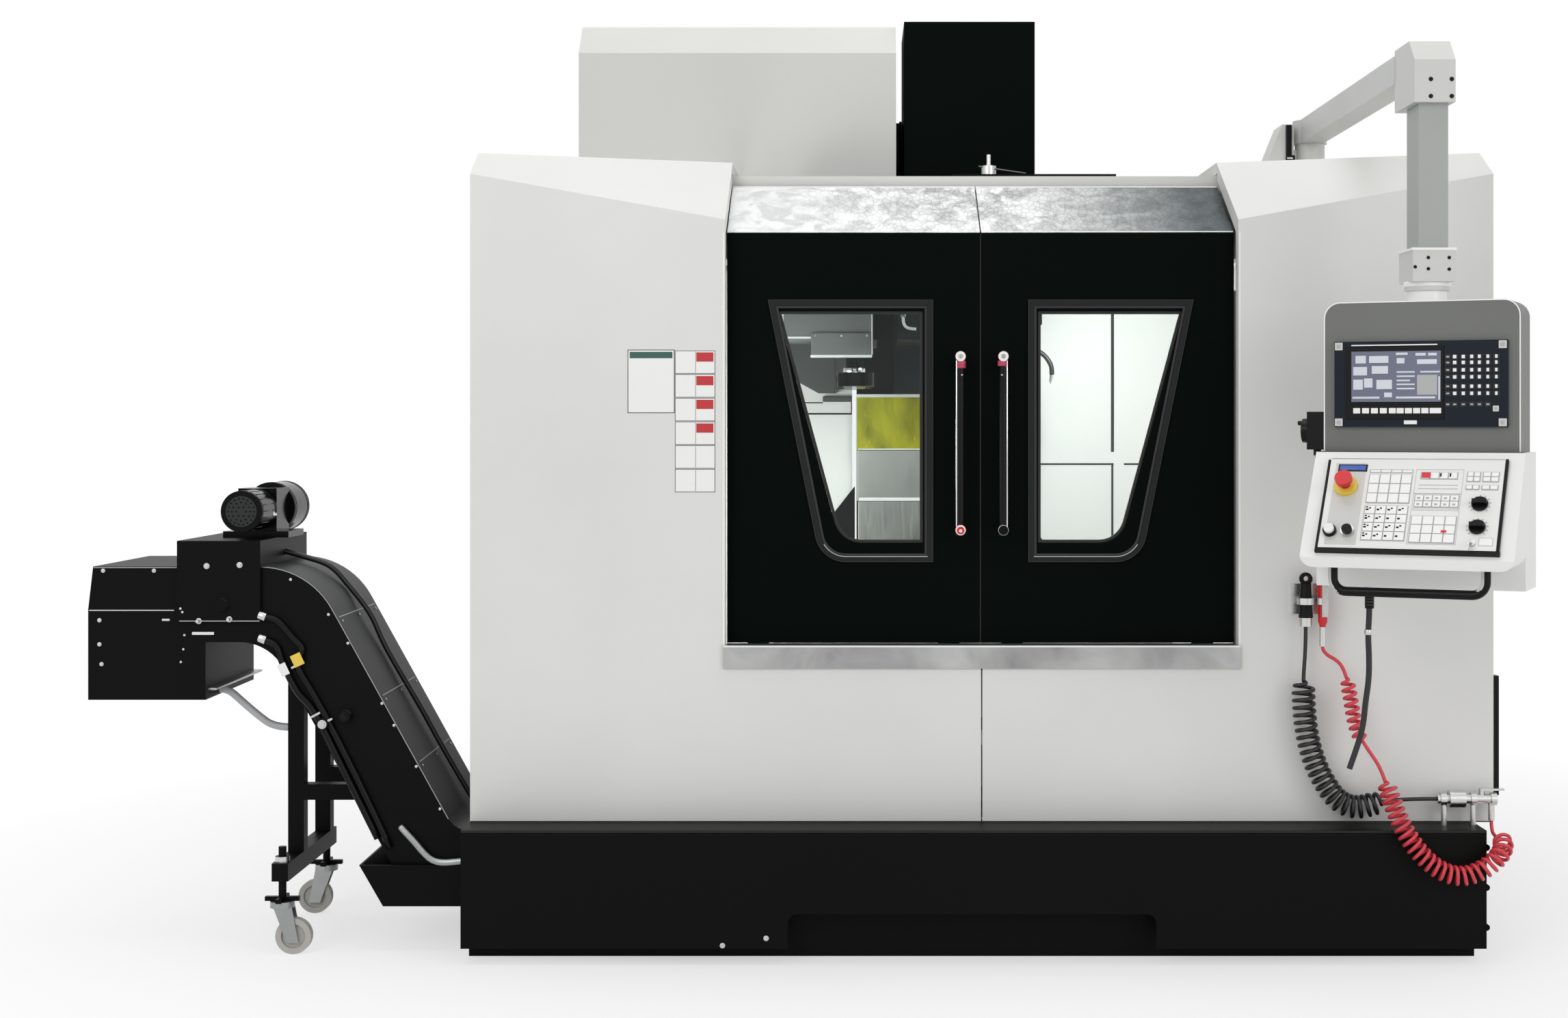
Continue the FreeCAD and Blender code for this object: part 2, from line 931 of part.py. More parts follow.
def cover_shell(side):
    """Hollow corner cover with a slanted brow and an open door pocket."""
    def skin(inner, outer, inset):
        return loft("YZ", cover_section(inner, inset), f"{side} * ({inner})",
                    cover_section(outer, inset), f"{side} * ({outer})")
    outer = skin("door_half", "body_half", "0")
    inner = skin("door_half + wall", "body_half - wall", "wall")
    pocket_points = [(depth("pocket_near"), "pocket_low"),
                     (depth("pocket_near"), "door_bend + pocket_rise"),
                     (depth("pocket_bend"), f"door_bend + pocket_rise + (pocket_bend - pocket_near)"
                                            f" * (door_rise) / (door_back - door_near)"),
                     (depth("pocket_bend"), "door_bend + pocket_back_rise"),
                     (depth("cover_depth - wall"), "door_bend + pocket_back_rise"),
                     (depth("cover_depth - wall"), "liner_low - rear_strip"),
                     (depth("liner_near - rear_strip"), "liner_low - rear_strip"),
                     (depth("liner_near - rear_strip"), "pocket_low")]
    pocket = profile("YZ", pocket_points,
                     *span(side, "door_half - cut_extra", "door_half + wall + cut_extra"))
    pan_points = [(depth("0"), "skirt_top"), (depth("panel_return"), "skirt_top"),
                  (depth("panel_return"), "skirt_top + wall"), (depth("wall"), "skirt_top + wall"),
                  (depth("wall"), "panel_top - wall"), (depth("panel_return"), "panel_top - wall"),
                  (depth("panel_return"), "panel_top"), (depth("0"), "panel_top")]
    pan = profile("YZ", pan_points, *span(side, "seam_half", "door_half"))
    return fused(cut(outer, inner, pocket), pan)


def side_covers():
    """The two corner covers; the left one is open under the tool magazine."""
    hatch = block("magazine_west + magazine_rim", "-door_half + cut_extra",
                  depth("magazine_near + magazine_rim"), depth("magazine_far - magazine_rim"),
                  "liner_top", f"{ROOF} + cut_extra")
    node("side_cover_left", cut(cover_shell(-1), hatch))
    node("side_cover_right", cover_shell(1))


def base_skirt():
    """Black coolant base with its ledge, kick plate, fork notch and chip tray."""
    outer = block(WEST, EAST, depth("-skirt_proud"), depth("skirt_depth"),
                  "skirt_low", "skirt_top")
    inner = block(f"{WEST} + wall", f"{EAST} - wall", depth("wall - skirt_proud"),
                  depth("skirt_depth - wall"), "skirt_low - cut_extra", "skirt_top - wall")
    bay = block("-bay_half", "bay_half", depth("ledge_near"), depth("bay_far"),
                "skirt_top - wall - cut_extra", "skirt_top + cut_extra")
    notch = profile("XZ", [("notch_west", "skirt_low - cut_extra"),
                           ("notch_east", "skirt_low - cut_extra"),
                           ("notch_east", "notch_top"), ("notch_west", "notch_top")],
                    depth("-skirt_proud - cut_extra"), depth("wall + cut_extra - skirt_proud"),
                    {2: "notch_radius", 3: "notch_radius"})
    gate = block(f"{WEST} - cut_extra", f"{WEST} + wall + cut_extra",
                 depth("trough_near - gate_margin"), depth("trough_far + gate_margin"),
                 "tray_low + wall", "trough_high + gate_head")
    kick = block(f"{WEST} + wall", f"{EAST} - wall", depth("-kick_set_back"),
                 depth("wall - kick_set_back"), "0", "skirt_top - wall")
    tray_near = depth("trough_near - tray_margin")
    tray_far = depth("trough_far + tray_margin")
    tray = profile("XZ", [(TRAY, "tray_top"), (f"{TRAY} + tray_set_in", "tray_low"),
                          (WEST, "tray_low"), (WEST, "tray_top")],
                   tray_near, tray_far)
    hollow = profile("XZ", [(f"{TRAY} + wall", "tray_top + cut_extra"),
                            (f"{TRAY} + tray_set_in + wall", "tray_low + wall"),
                            (f"{WEST} + cut_extra", "tray_low + wall"),
                            (f"{WEST} + cut_extra", "tray_top + cut_extra")],
                     f"{tray_near} + wall", f"{tray_far} - wall")
    hinges = [rod("Y", f"{EAST} + hinge_radius / 2",
                  f"skirt_low + hinge_first + hinge_pitch * {level}",
                  depth("hinge_set_back - skirt_proud"),
                  depth("hinge_set_back + hinge_length - skirt_proud"), "hinge_radius")
              for level in range(3)]
    shell = cut(outer, inner, bay, notch)
    return node("base_skirt", cut(fused(shell, kick, tray, *hinges), gate, hollow))


def machine_bed():
    """Cast bed with its forward nose, guide rails and anchor lugs."""
    near, far = depth("bed_near"), depth("bed_far")
    base_points = [("-bed_half", "foot_height"), ("bed_half", "foot_height"),
                   ("bed_half", "bed_shoulder"), ("bed_top_half", "bed_neck"),
                   ("bed_top_half", "bed_top"), ("-bed_top_half", "bed_top"),
                   ("-bed_top_half", "bed_neck"), ("-bed_half", "bed_shoulder")]
    base = profile("XZ", base_points, near, far)
    nose = profile("YZ", [(near, "nose_root_low"), (near, "bed_top"),
                          (depth("nose_near"), "bed_top"), (depth("nose_near"), "nose_low"),
                          (depth("nose_mid"), "nose_mid_low")], "-bed_top_half", "bed_top_half")
    core = block("-core_half", "core_half", depth("bed_near + core_margin"),
                 depth("bed_far - core_margin"), "foot_height - cut_extra", "core_top")
    rails = [block(f"{side} * way_x - rail_width / 2", f"{side} * way_x + rail_width / 2",
                   depth("way_near"), depth("way_far"), "bed_top", "bed_top + rail_height")
             for side in (-1, 1)]
    cuts = [core]
    for side in (-1, 1):
        for end in (-1, 1):
            west, east = span(side, "anchor_x - lug_pocket", "bed_half + cut_extra")
            cuts.append(block(west, east, f"{end} * anchor_y - lug_pocket",
                              f"{end} * anchor_y + lug_pocket",
                              "foot_height + lug_height", "lug_pocket_high"))
            cuts.append(rod("Z", f"{side} * anchor_x", f"{end} * anchor_y",
                            "foot_height - cut_extra", "foot_height + lug_height + cut_extra",
                            "anchor_radius"))
    return node("machine_bed", cut(fused(base, nose, *rails), *cuts))


def levelling_feet():
    """Four bored floor pads under the anchor lugs."""
    feet = []
    for side in (-1, 1):
        for end in (-1, 1):
            x, y = f"{side} * anchor_x", f"{end} * anchor_y"
            pad = block(f"{x} - foot_half", f"{x} + foot_half", f"{y} - foot_half",
                        f"{y} + foot_half", "0", "foot_height")
            feet.append(cut(pad, rod("Z", x, y, "-cut_extra", "foot_height + cut_extra",
                                     "anchor_radius")))
    return node("levelling_feet", grouped(*feet))


def column():
    """Cast column with its ribbed back, guide rails and feed motor."""
    points = [("spindle_x - column_half - column_taper", "bed_top"),
              ("spindle_x + column_half + column_taper", "bed_top"),
              ("spindle_x + column_half", "bed_top + column_core_pitch"),
              ("spindle_x + column_half", "column_top"),
              ("spindle_x - column_half", "column_top"),
              ("spindle_x - column_half", "bed_top + column_core_pitch")]
    casting = profile("XZ", points, depth("column_near"), depth("column_far"))
    cores = [block("spindle_x - column_core_half", "spindle_x + column_core_half",
                   depth("column_core_near"), depth("column_far + cut_extra"),
                   f"column_core_low + column_core_pitch * {level}",
                   f"column_core_low + column_core_pitch * {level + 1} - column_rib")
             for level in range(4)]
    rails = [block(f"spindle_x + {side} * head_way_x - rail_width / 2",
                   f"spindle_x + {side} * head_way_x + rail_width / 2",
                   depth("column_near - rail_height"), depth("column_near"),
                   "head_way_low", "column_top") for side in (-1, 1)]
    motor = rod("Z", "spindle_x", depth("column_near + motor_set_back"), "column_top",
                "column_top + motor_height", "motor_radius")
    return node("column", fused(cut(casting, *cores), motor, *rails))


def door_sill():
    """Bright sill strip with the lower door track behind it."""
    strip = block("-sill_half", "sill_half", depth("-sill_proud"), depth("0"),
                  "sill_low", "sill_top")
    ledge = block("sill_side_gap - door_half", "door_half - sill_side_gap", depth("-sill_proud"),
                  depth("track_near"), "sill_top - wall", "sill_top")
    track = block("wall - body_half", "body_half - wall", depth("track_near"),
                  depth("track_far"), "track_low", "track_top")
    return node("door_sill", fused(strip, ledge, track))


def roof_beam():
    """Folded beam over the doors with the upper track, a plate and a valve on it."""
    points = [(depth("lip_near"), SHELF), (depth("beam_near + wall"), SHELF),
              (depth("beam_near + wall"), f"{BEAM} - wall"),
              (depth("beam_far"), f"{BEAM} - wall"), (depth("beam_far"), BEAM),
              (depth("beam_near"), BEAM), (depth("beam_near"), f"{SHELF} + wall"),
              (depth("lip_near + wall"), f"{SHELF} + wall"),
              (depth("lip_near + wall"), f"{SHELF} + lip_height"),
              (depth("lip_near"), f"{SHELF} + lip_height")]
    beam = profile("YZ", points, "wall - body_half", "body_half - wall")
    plate = block("roof_plate_west", "roof_plate_east", depth("beam_near + roof_plate_inset"),
                  depth("beam_far - roof_plate_inset"), BEAM,
                  f"{BEAM} + roof_plate_thick")
    middle = depth("(beam_near + beam_far) / 2")
    valve = rod("Z", "roof_valve_radius * 2", middle, BEAM,
                f"{BEAM} + roof_plate_thick + roof_valve_height", "roof_valve_radius")
    stem = rod("Z", "roof_valve_radius * 2", middle, BEAM,
               f"{BEAM} + roof_plate_thick + roof_stem_height", "roof_stem_radius")
    return node("roof_beam", fused(beam, plate, valve, stem))


def cabin_liner():
    """Sheet lining of the work chamber with side chutes, cut open for the column."""
    near, far = depth("liner_near"), depth("cover_depth - back_wall_gap - wall")
    sheets = []
    for side in (-1, 1):
        def at(text, side=side):
            return f"{side} * ({text})"
        points = [(at("liner_half"), "liner_top"), (at("liner_half + wall"), "liner_top"),
                  (at("liner_half + wall"), "liner_chute_top - wall"),
                  (at("chute_inner"), "liner_low"), (at("chute_inner"), "liner_low + wall"),
                  (at("liner_half"), "liner_chute_top + wall / 3")]
        sheets.append(profile("XZ", points, near, far))
        west, east = span(side, "liner_return_inner", "liner_half")
        sheets.append(block(west, east, near, f"{near} + wall", "liner_chute_top", "liner_top"))
    back = block("-liner_half - wall", "liner_half + wall", far, f"{far} + wall",
                 "liner_low", "liner_top")
    opening = block("bay_west", "bay_east", f"{far} - cut_extra", f"{far} + wall + cut_extra",
                    "liner_low + wall", "liner_top + cut_extra")
    bed_gap = block("-bed_top_half - fit_gap", "bed_top_half + fit_gap", f"{far} - cut_extra",
                    f"{far} + wall + cut_extra", "liner_low - cut_extra", "bed_top + fit_gap")
    low, high = "bed_top + fit_gap", "head_low - 3 * shield_pitch - shield_sheet * 2"
    fixed = [shield(0, low, high)]
    for side, edge in ((-1, "spindle_x - bay_west"), (1, "bay_east - spindle_x")):
        west, east = beside_spindle(side, "shield_half - shield_sheet", "shield_half")
        fixed.append(block(west, east, depth("shield_near + shield_flange"), far, low, high))
        west, east = beside_spindle(side, "shield_half - shield_sheet", f"{edge} + wall")
        fixed.append(block(west, east, f"{far} - shield_sheet", far, low, high))
    return node("cabin_liner", fused(cut(fused(back, *sheets), opening, bed_gap), *fixed))


def beside_spindle(side, inner, outer):
    """The two X planes between two distances from the spindle, on one side."""
    ends = (inner, outer) if side > 0 else (outer, inner)
    return tuple(f"spindle_x + {side} * ({end})" for end in ends)


def shield(step, low, high, flange=False):
    """One telescopic way cover; step counts the layers in front of the fixed one."""
    layer = f"{step} * (shield_sheet + fit_gap)"
    half = f"(shield_half + {layer})"
    face = depth(f"shield_near + 3 * (shield_sheet + fit_gap) - {layer}")
    pieces = [block(f"spindle_x - {half}", f"spindle_x + {half}", face,
                    f"{face} + shield_sheet", low, high)]
    for side in (-1, 1):
        west, east = beside_spindle(side, f"{half} - shield_sheet", half)
        pieces.append(block(west, east, face, f"{face} + shield_flange", low, high))
    if flange:
        pieces.append(block(f"spindle_x - {half}", f"spindle_x + {half}", face,
                            f"{face} + shield_flange", f"{high} - shield_sheet", high))
    return fused(*pieces)


def way_shields():
    """The telescopic covers under the head; the fixed one is part of the lining."""
    top = shield(3, "head_low - shield_pitch - shield_overlap", "head_low", True)
    node("way_shield_upper", top)
    for step, label in ((2, "way_shield_middle"), (1, "way_shield_lower")):
        low = f"head_low - (4 - {step}) * shield_pitch - shield_overlap"
        high = f"head_low - (3 - {step}) * shield_pitch - shield_sheet - shield_clear"
        node(label, shield(step, low, high))


# ---------------------------------------------------------------- doors

def window_outline(side, prefix, grow):
    """Corners of a window with one leaning side, grown outwards all round."""
    lean = f"{prefix}_lean"
    high = f"(door_bend - {prefix}_drop + {grow})"
    low = f"({high} - {prefix}_high_to_low - 2 * ({grow}))"
    height = f"({high} - {low})"
    outer_top = f"({prefix}_outer + {grow} * (sqrt(1 + {lean} ^ 2) + {lean}))"
    return [(f"{side} * ({prefix}_inner - ({grow}))", low),
            (f"{side} * ({outer_top} - {lean} * {height})", low),
            (f"{side} * {outer_top}", high),
            (f"{side} * ({prefix}_inner - ({grow}))", high)]


def door(side, label):
    """Sliding door: a deep panel, its slanted bright top, a window frame and guides."""
    near = depth("door_near")
    far = depth("door_near + door_thick")
    west, east = span(side, "seam_half", "door_half - sill_side_gap")
    panel = block(west, east, near, far, "door_low", "door_bend")
    top = profile("YZ", [(near, "door_bend"), (depth("door_back"), "door_bend + door_rise"),
                         (depth("door_back"), "door_bend + door_rise - door_hem"),
                         (depth("door_back - door_sheet"), "door_bend + door_rise - door_hem"),
                         (depth("door_back - door_sheet"), "door_bend + door_rise - door_top_drop"),
                         (far, "door_bend + door_root_rise"),
                         (far, "door_bend - door_sheet"), (near, "door_bend - door_sheet")],
                  west, east)
    rim = profile("XZ", window_outline(side, "frame", "0"), f"{near} - frame_proud",
                  f"{near} + frame_proud", {1: "frame_radius"})
    rim_hole = profile("XZ", window_outline(side, "frame", "-frame_width"),
                       f"{near} - frame_proud - cut_extra", near,
                       {1: "frame_radius - frame_width"})
    hole = profile("XZ", window_outline(side, "glass", "0"), f"{near} - cut_extra",
                   f"{far} + cut_extra", {1: "glass_radius"})
    rebate = profile("XZ", window_outline(side, "glass", "glass_rebate"),
                     f"{far} - glass_thick", f"{far} + cut_extra",
                     {1: "glass_radius + glass_rebate"})
    shoes = []
    for middle in ("shoe_inset", "door_half - shoe_inset"):
        shoe_west, shoe_east = span(side, f"{middle} - shoe_width / 2",
                                    f"{middle} + shoe_width / 2")
        shoes.append(block(shoe_west, shoe_east, f"{near} + fit_gap", f"{far} - door_sheet",
                           "track_top + fit_gap", "door_low"))
        shoes.append(block(shoe_west, shoe_east, far, depth("lip_near - fit_gap"),
                           "door_bend - shelf_drop + hook_lift",
                           "door_bend - shelf_drop + hook_lift + hook_height"))
    return node(label, cut(fused(panel, top, rim, *shoes), rim_hole, hole, rebate))


def window(side, label):
    """Safety glass seated in the rebate at the back of a door."""
    far = depth("door_near + door_thick")
    pane = profile("XZ", window_outline(side, "glass", "glass_rebate"),
                   f"{far} - glass_thick", far, {1: "glass_radius + glass_rebate"})
    return node(label, pane)


def handle(side, label):
    """Upright bar with end caps on two short posts."""
    x = f"{side} * handle_x"
    y = depth("door_near - handle_proud")
    bar = rod("Z", x, y, "handle_low", "handle_high", "handle_radius")
    caps = [rod("Z", x, y, "handle_low", "handle_low + handle_cap_length", "handle_cap_radius"),
            rod("Z", x, y, "handle_high - handle_cap_length", "handle_high",
                "handle_cap_radius")]
    posts = [rod("Y", x, level, y, depth("door_near"), "handle_post_radius")
             for level in ("handle_low + handle_post_inset", "handle_high - handle_post_inset")]
    return node(label, fused(bar, *caps, *posts))


# ---------------------------------------------------------------- machine inside

def spindle_head():
    """Head casting with its spindle bore and the drive motor on top."""
    back = depth("column_near - rail_height - fit_gap")
    points = [(depth("head_near"), "head_nose_low"), (depth("head_throat"), "head_nose_low"),
              (depth("head_root"), "head_low"), (back, "head_low"), (back, "head_top"),
              (depth("head_brow_depth"), "head_top"), (depth("head_near"), "head_brow_low")]
    casting = profile("YZ", points, "spindle_x - head_half", "spindle_x + head_half",
                      {0: "nose_round"})
    bore = rod("Z", "spindle_x", depth("spindle_depth"), "head_nose_low - cut_extra",
               "spindle_top + nose_round", "spindle_radius + shaft_gap")
    motor = rod("Z", "spindle_x", depth("head_motor_depth"), "head_top",
                "head_top + head_motor_height", "head_motor_radius")
    return node("spindle_head", fused(cut(casting, bore), motor))


def spindle():
    """Spindle with its nose flange and tapered tool socket."""
    points = [("socket_mouth", "0"), ("spindle_nose_radius", "0"),
              ("spindle_nose_radius", "spindle_nose_height"),
              ("spindle_flange_radius", "spindle_nose_height"),
              ("spindle_flange_radius", "head_nose_low - fit_gap - spindle_low"),
              ("spindle_radius", "head_nose_low - fit_gap - spindle_low"),
              ("spindle_radius", "spindle_top - spindle_low"),
              ("0", "spindle_top - spindle_low"), ("0", "socket_depth"),
              ("socket_root", "socket_depth")]
    return node("spindle", turned(points, ("spindle_x", depth("spindle_depth"), "spindle_low")))


def head_cover():
    """Black sheet cover that rises over the head."""
    outer = block("hood_west", "hood_east", depth("hood_near"), depth("hood_far"),
                  "head_top", "hood_top")
    inner = block("hood_west + wall", "hood_east - wall", depth("hood_near + wall"),
                  depth("hood_far - wall"), "head_top - cut_extra", "hood_top - wall")
    return node("head_cover", cut(outer, inner))


def magazine_cover():
    """Box over the tool magazine with a chamfered front brow."""
    def section(inset, corner, low):
        return [(depth(f"magazine_near + {inset}"), low),
                (depth(f"magazine_near + {inset}"), f"{ROOF} + magazine_brow - {corner}"),
                (depth(f"magazine_near + magazine_chamfer + {corner}"),
                 f"{ROOF} + magazine_top - {inset}"),
                (depth(f"magazine_far - {inset}"), f"{ROOF} + magazine_top - {inset}"),
                (depth(f"magazine_far - {inset}"), low)]
    outer = profile("YZ", section("0", "0", ROOF), "magazine_west", "magazine_east")
    inner = profile("YZ", section("wall", "wall * tan(22.5)", f"{ROOF} - cut_extra"),
                    "magazine_west + wall", "magazine_east - wall")
    return node("magazine_cover", cut(outer, inner))


def tool_changer():
    """Cam box of the tool changer, its pot pocket, and the bracket of the magazine."""
    back = depth("cover_depth - back_wall_gap - wall")
    cam = profile("YZ", [(depth("cam_near"), "cam_low"), (back, "cam_low"), (back, "cam_shelf"),
                         (depth("cam_step"), "cam_shelf"), (depth("cam_step"), "cam_high"),
                         (depth("cam_near"), "cam_high")], "cam_west", "cam_east")
    flange = rod("Z", "arm_x", depth("spindle_depth"), "cam_low - arm_flange_height", "cam_low",
                 "arm_flange_radius")
    pocket = profile("XZ", [("pocket_box_west", "pocket_box_low + pocket_box_slant"),
                            ("pocket_box_east - pocket_box_slant", "pocket_box_low"),
                            ("pocket_box_east", "pocket_box_low"),
                            ("pocket_box_east", "cam_low"), ("pocket_box_west", "cam_low")],
                     depth("pocket_box_near"), back)
    bracket = profile("XZ", [("cam_west", "cam_shelf"), ("bracket_foot_east", "cam_shelf"),
                             ("bracket_head_east", f"{ROOF} + bracket_rise"),
                             ("bracket_head_west", f"{ROOF} + bracket_rise")],
                      depth("bracket_near"), depth("bracket_far"))
    axle = rod("Y", "disc_x", f"{ROOF} - disc_drop", depth("hub_near"),
               depth("bracket_near"), "axle_radius")
    return node("tool_changer", fused(cam, flange, pocket, bracket, axle))


def magazine_disc():
    """Tool disc with radial pots round its rim."""
    hub = rod("Y", "disc_x", f"{ROOF} - disc_drop", depth("hub_near"), depth("hub_far"), "hub_radius")
    disc = rod("Y", "disc_x", f"{ROOF} - disc_drop", depth("disc_near"), depth("disc_near + disc_thick"),
               "disc_radius")
    bore = rod("Y", "disc_x", f"{ROOF} - disc_drop", depth("hub_near - cut_extra"),
               depth("hub_far + cut_extra"), "axle_radius + fit_gap")
    pots = []
    for number in range(int(value("pot_count"))):
        angle = f"({number} * 360 / pot_count)"
        pot = doc.addObject("Part::Prism", "Pot")
        pot.Polygon = 6
        pot.Placement = FreeCAD.Placement(Vector(), Rotation(Vector(0, 1, 0), 10))
        pot.setExpression(".Placement.Rotation.Angle", bound(angle))
        pot.setExpression("Circumradius", bound("pot_radius"))
        pot.setExpression("Height", bound("pot_outer - pot_inner"))
        pots.append(seat(pot, (f"disc_x + pot_inner * sin{angle}",
                               depth("disc_near + disc_thick / 2"),
                               f"{ROOF} - disc_drop + pot_inner * cos{angle}")))
    return node("magazine_disc", cut(fused(hub, disc, *pots), bore))


def tool_change_arm():
    """Twin arm, at rest along the depth, with an open jaw at each end."""
    y = depth("spindle_depth")
    shaft = rod("Z", "arm_x", y, "arm_high", "cam_low - arm_flange_height - fit_gap",
                "arm_shaft_radius")
    hub = rod("Z", "arm_x", y, "arm_low", "arm_high", "arm_hub_radius")
    bar = block("arm_x - arm_half_width", "arm_x + arm_half_width", f"{y} - arm_reach",
                f"{y} + arm_reach", "arm_low", "arm_high")
    ends = [rod("Z", "arm_x", f"{y} + {end} * arm_reach", "arm_low", "arm_high",
                "arm_end_radius") for end in (-1, 1)]
    jaws = []
    for end in (-1, 1):
        middle = f"{y} + {end} * arm_reach"
        jaws.append(rod("Z", "arm_x", middle, "arm_low - cut_extra", "arm_high + cut_extra",
                        "arm_jaw_radius"))
        mouth = (("arm_x", "arm_x + arm_end_radius + cut_extra") if end > 0 else
                 ("arm_x - arm_end_radius - cut_extra", "arm_x"))
        jaws.append(block(*mouth, f"{middle} - arm_jaw_radius", f"{middle} + arm_jaw_radius",
                          "arm_low - cut_extra", "arm_high + cut_extra"))
    return node("tool_change_arm", cut(fused(shaft, hub, bar, *ends), *jaws))


def saddle():
    """Cross slide that carries the table's rails."""
    base = "bed_top + rail_height + fit_gap"
    body = profile("XZ", [("-saddle_half + rail_width", base), ("saddle_half - rail_width", base),
                          ("saddle_half", f"{base} + rail_width"), ("saddle_half", "saddle_top"),
                          ("-saddle_half", "saddle_top"), ("-saddle_half", f"{base} + rail_width")],
                   depth("saddle_near"), depth("saddle_far"))
    rails = [block("-saddle_half", "saddle_half", depth(f"{middle} - rail_width / 2"),
                   depth(f"{middle} + rail_width / 2"), "saddle_top",
                   "saddle_top + saddle_rail_height")
             for middle in ("saddle_rail_near", "saddle_rail_far")]
    return node("saddle", fused(body, *rails))


def table():
    """Work table with its T-slots."""
    slab = block("-table_half", "table_half", depth("table_near"), depth("table_far"),
                 "saddle_top + saddle_rail_height + fit_gap", "table_top")
    slots = []
    for number in range(int(value("slot_count"))):
        middle = (f"(table_near + table_far) / 2"
                  f" + ({number} - (slot_count - 1) / 2) * slot_pitch")
        slots.append(block("-table_half - cut_extra", "table_half + cut_extra",
                           depth(f"{middle} - slot_width / 2"),
                           depth(f"{middle} + slot_width / 2"),
                           "table_top - slot_depth", "table_top + cut_extra"))
        slots.append(block("-table_half - cut_extra", "table_half + cut_extra",
                           depth(f"{middle} - slot_foot_width / 2"),
                           depth(f"{middle} + slot_foot_width / 2"),
                           "table_top - slot_depth", "table_top - slot_depth + slot_foot_height"))
    return node("table", cut(slab, *slots))


def electrical_cabinet():
    """Cabinet behind the right cover, with its hinged rear door."""
    outer = block("cabinet_west", "cabinet_east", depth("cabinet_near"), depth("cabinet_far"),
                  "skirt_top", "cabinet_top")
    inner = block("cabinet_west + wall", "cabinet_east - wall", depth("cabinet_near + wall"),
                  depth("cabinet_far - wall"), "skirt_top + wall", "cabinet_top - wall")
    mouth = block("cabinet_west + cabinet_frame", "cabinet_east - cabinet_frame",
                  depth("cabinet_near + cabinet_frame"), depth("cabinet_far + cut_extra"),
                  "skirt_top + cabinet_frame", "cabinet_top - cabinet_frame")
    shelf = block("cabinet_west + wall", "cabinet_east - wall", depth("cabinet_near + wall"),
                  depth("cabinet_near + cabinet_shelf"), "skirt_top + cabinet_shelf_low",
                  "cabinet_top - cabinet_shelf_low")
    node("electrical_cabinet", fused(cut(outer, inner, mouth), shelf))
    back = depth("cabinet_far + fit_gap")
    leaf = block("cabinet_west + cabinet_door_margin", "cabinet_east - cabinet_door_margin",
                 back, f"{back} + cabinet_door_thick", "skirt_top + cabinet_door_margin",
                 "cabinet_top - cabinet_door_margin")
    latch = rod("Y", "cabinet_west + cabinet_latch_x", "(skirt_top + cabinet_top) / 2",
                f"{back} + cabinet_door_thick", f"{back} + cabinet_door_thick * 2",
                "cabinet_latch_radius")
    barrel = rod("Z", "cabinet_east - cabinet_door_margin + cabinet_barrel_shift",
                 f"{back} + cabinet_door_thick / 2", "skirt_top + cabinet_door_margin",
                 "cabinet_top - cabinet_door_margin", "cabinet_barrel")
    node("cabinet_door", fused(leaf, latch, barrel))


# ---------------------------------------------------------------- pendant

def on_pendant(piece):
    """Turn a piece about the swivel axis and set it under the boom."""
    holder = grouped(piece)
    holder.setExpression(".Placement.Rotation.Angle", bound("yaw"))
    return seat(holder, ("swivel_x", depth("swivel_depth"), "0"))


def on_desk(piece):
    """Lean a piece back into the plane of the console's desk, then set it on the pendant."""
    holder = grouped(piece)
    holder.Placement = FreeCAD.Placement(Vector(), Rotation(Vector(1, 0, 0), -30))
    lean = "-atan((console_top_near - console_lip) / (case_low - console_lip_high))"
    holder.setExpression(".Placement.Rotation.Angle", bound(lean))
    seat(holder, ("0", "(console_top_near + console_lip) / 2",
                  "(case_low + console_lip_high) / 2"))
    return on_pendant(holder)


def pendant_arm():
    """Roof base of the boom and the boom with its elbow and drop tube."""
    pivot = depth("boom_pivot_depth")
    post = rod("Z", "boom_x", pivot, ROOF, f"{ROOF} + boom_low - fit_gap", "boom_post_radius")
    foot = rod("Z", "boom_x", pivot, ROOF, f"{ROOF} + boom_base_height",
               "boom_base_radius")
    housing = profile("XZ", [("housing_west", ROOF), ("housing_east", ROOF),
                             ("housing_east", f"{ROOF} + housing_high"),
                             ("housing_top_west", f"{ROOF} + housing_high")],
                      depth("housing_near"), depth("housing_far"))
    web = block("housing_east - wall", "boom_x", f"{pivot} - wall * 3", f"{pivot} + wall * 3",
                ROOF, f"{ROOF} + boom_low - boom_base_height")
    node("arm_base", fused(post, foot, housing, web))
    hub = rod("Z", "boom_x", pivot, f"{ROOF} + boom_low", f"{ROOF} + boom_high", "boom_hub_radius")
    beam = block("boom_x - boom_half", "boom_x + boom_half", depth("elbow_far - wall"), pivot,
                 f"{ROOF} + boom_low", f"{ROOF} + boom_high")
    elbow = profile("YZ", [(depth("elbow_near"), f"{ROOF} + elbow_low"),
                           (depth("elbow_far"), f"{ROOF} + elbow_low"),
                           (depth("elbow_far"), f"{ROOF} + elbow_high"),
                           (depth("elbow_near + elbow_chamfer"), f"{ROOF} + elbow_high"),
                           (depth("elbow_near"), f"{ROOF} + elbow_high - elbow_chamfer")],
                    "elbow_west", "elbow_east")
    drop = block("drop_west", "drop_east", depth("drop_near"), depth("drop_far"),
                 "flange_high", f"{ROOF} + elbow_low")
    flange = block("flange_west", "flange_east", depth("flange_near"), depth("flange_far"),
                   "flange_low", "flange_high")
    neck = rod("Z", "swivel_x", depth("swivel_depth"), "neck_low", "flange_low", "neck_radius")
    node("boom_arm", fused(hub, beam, elbow, drop, flange, neck))


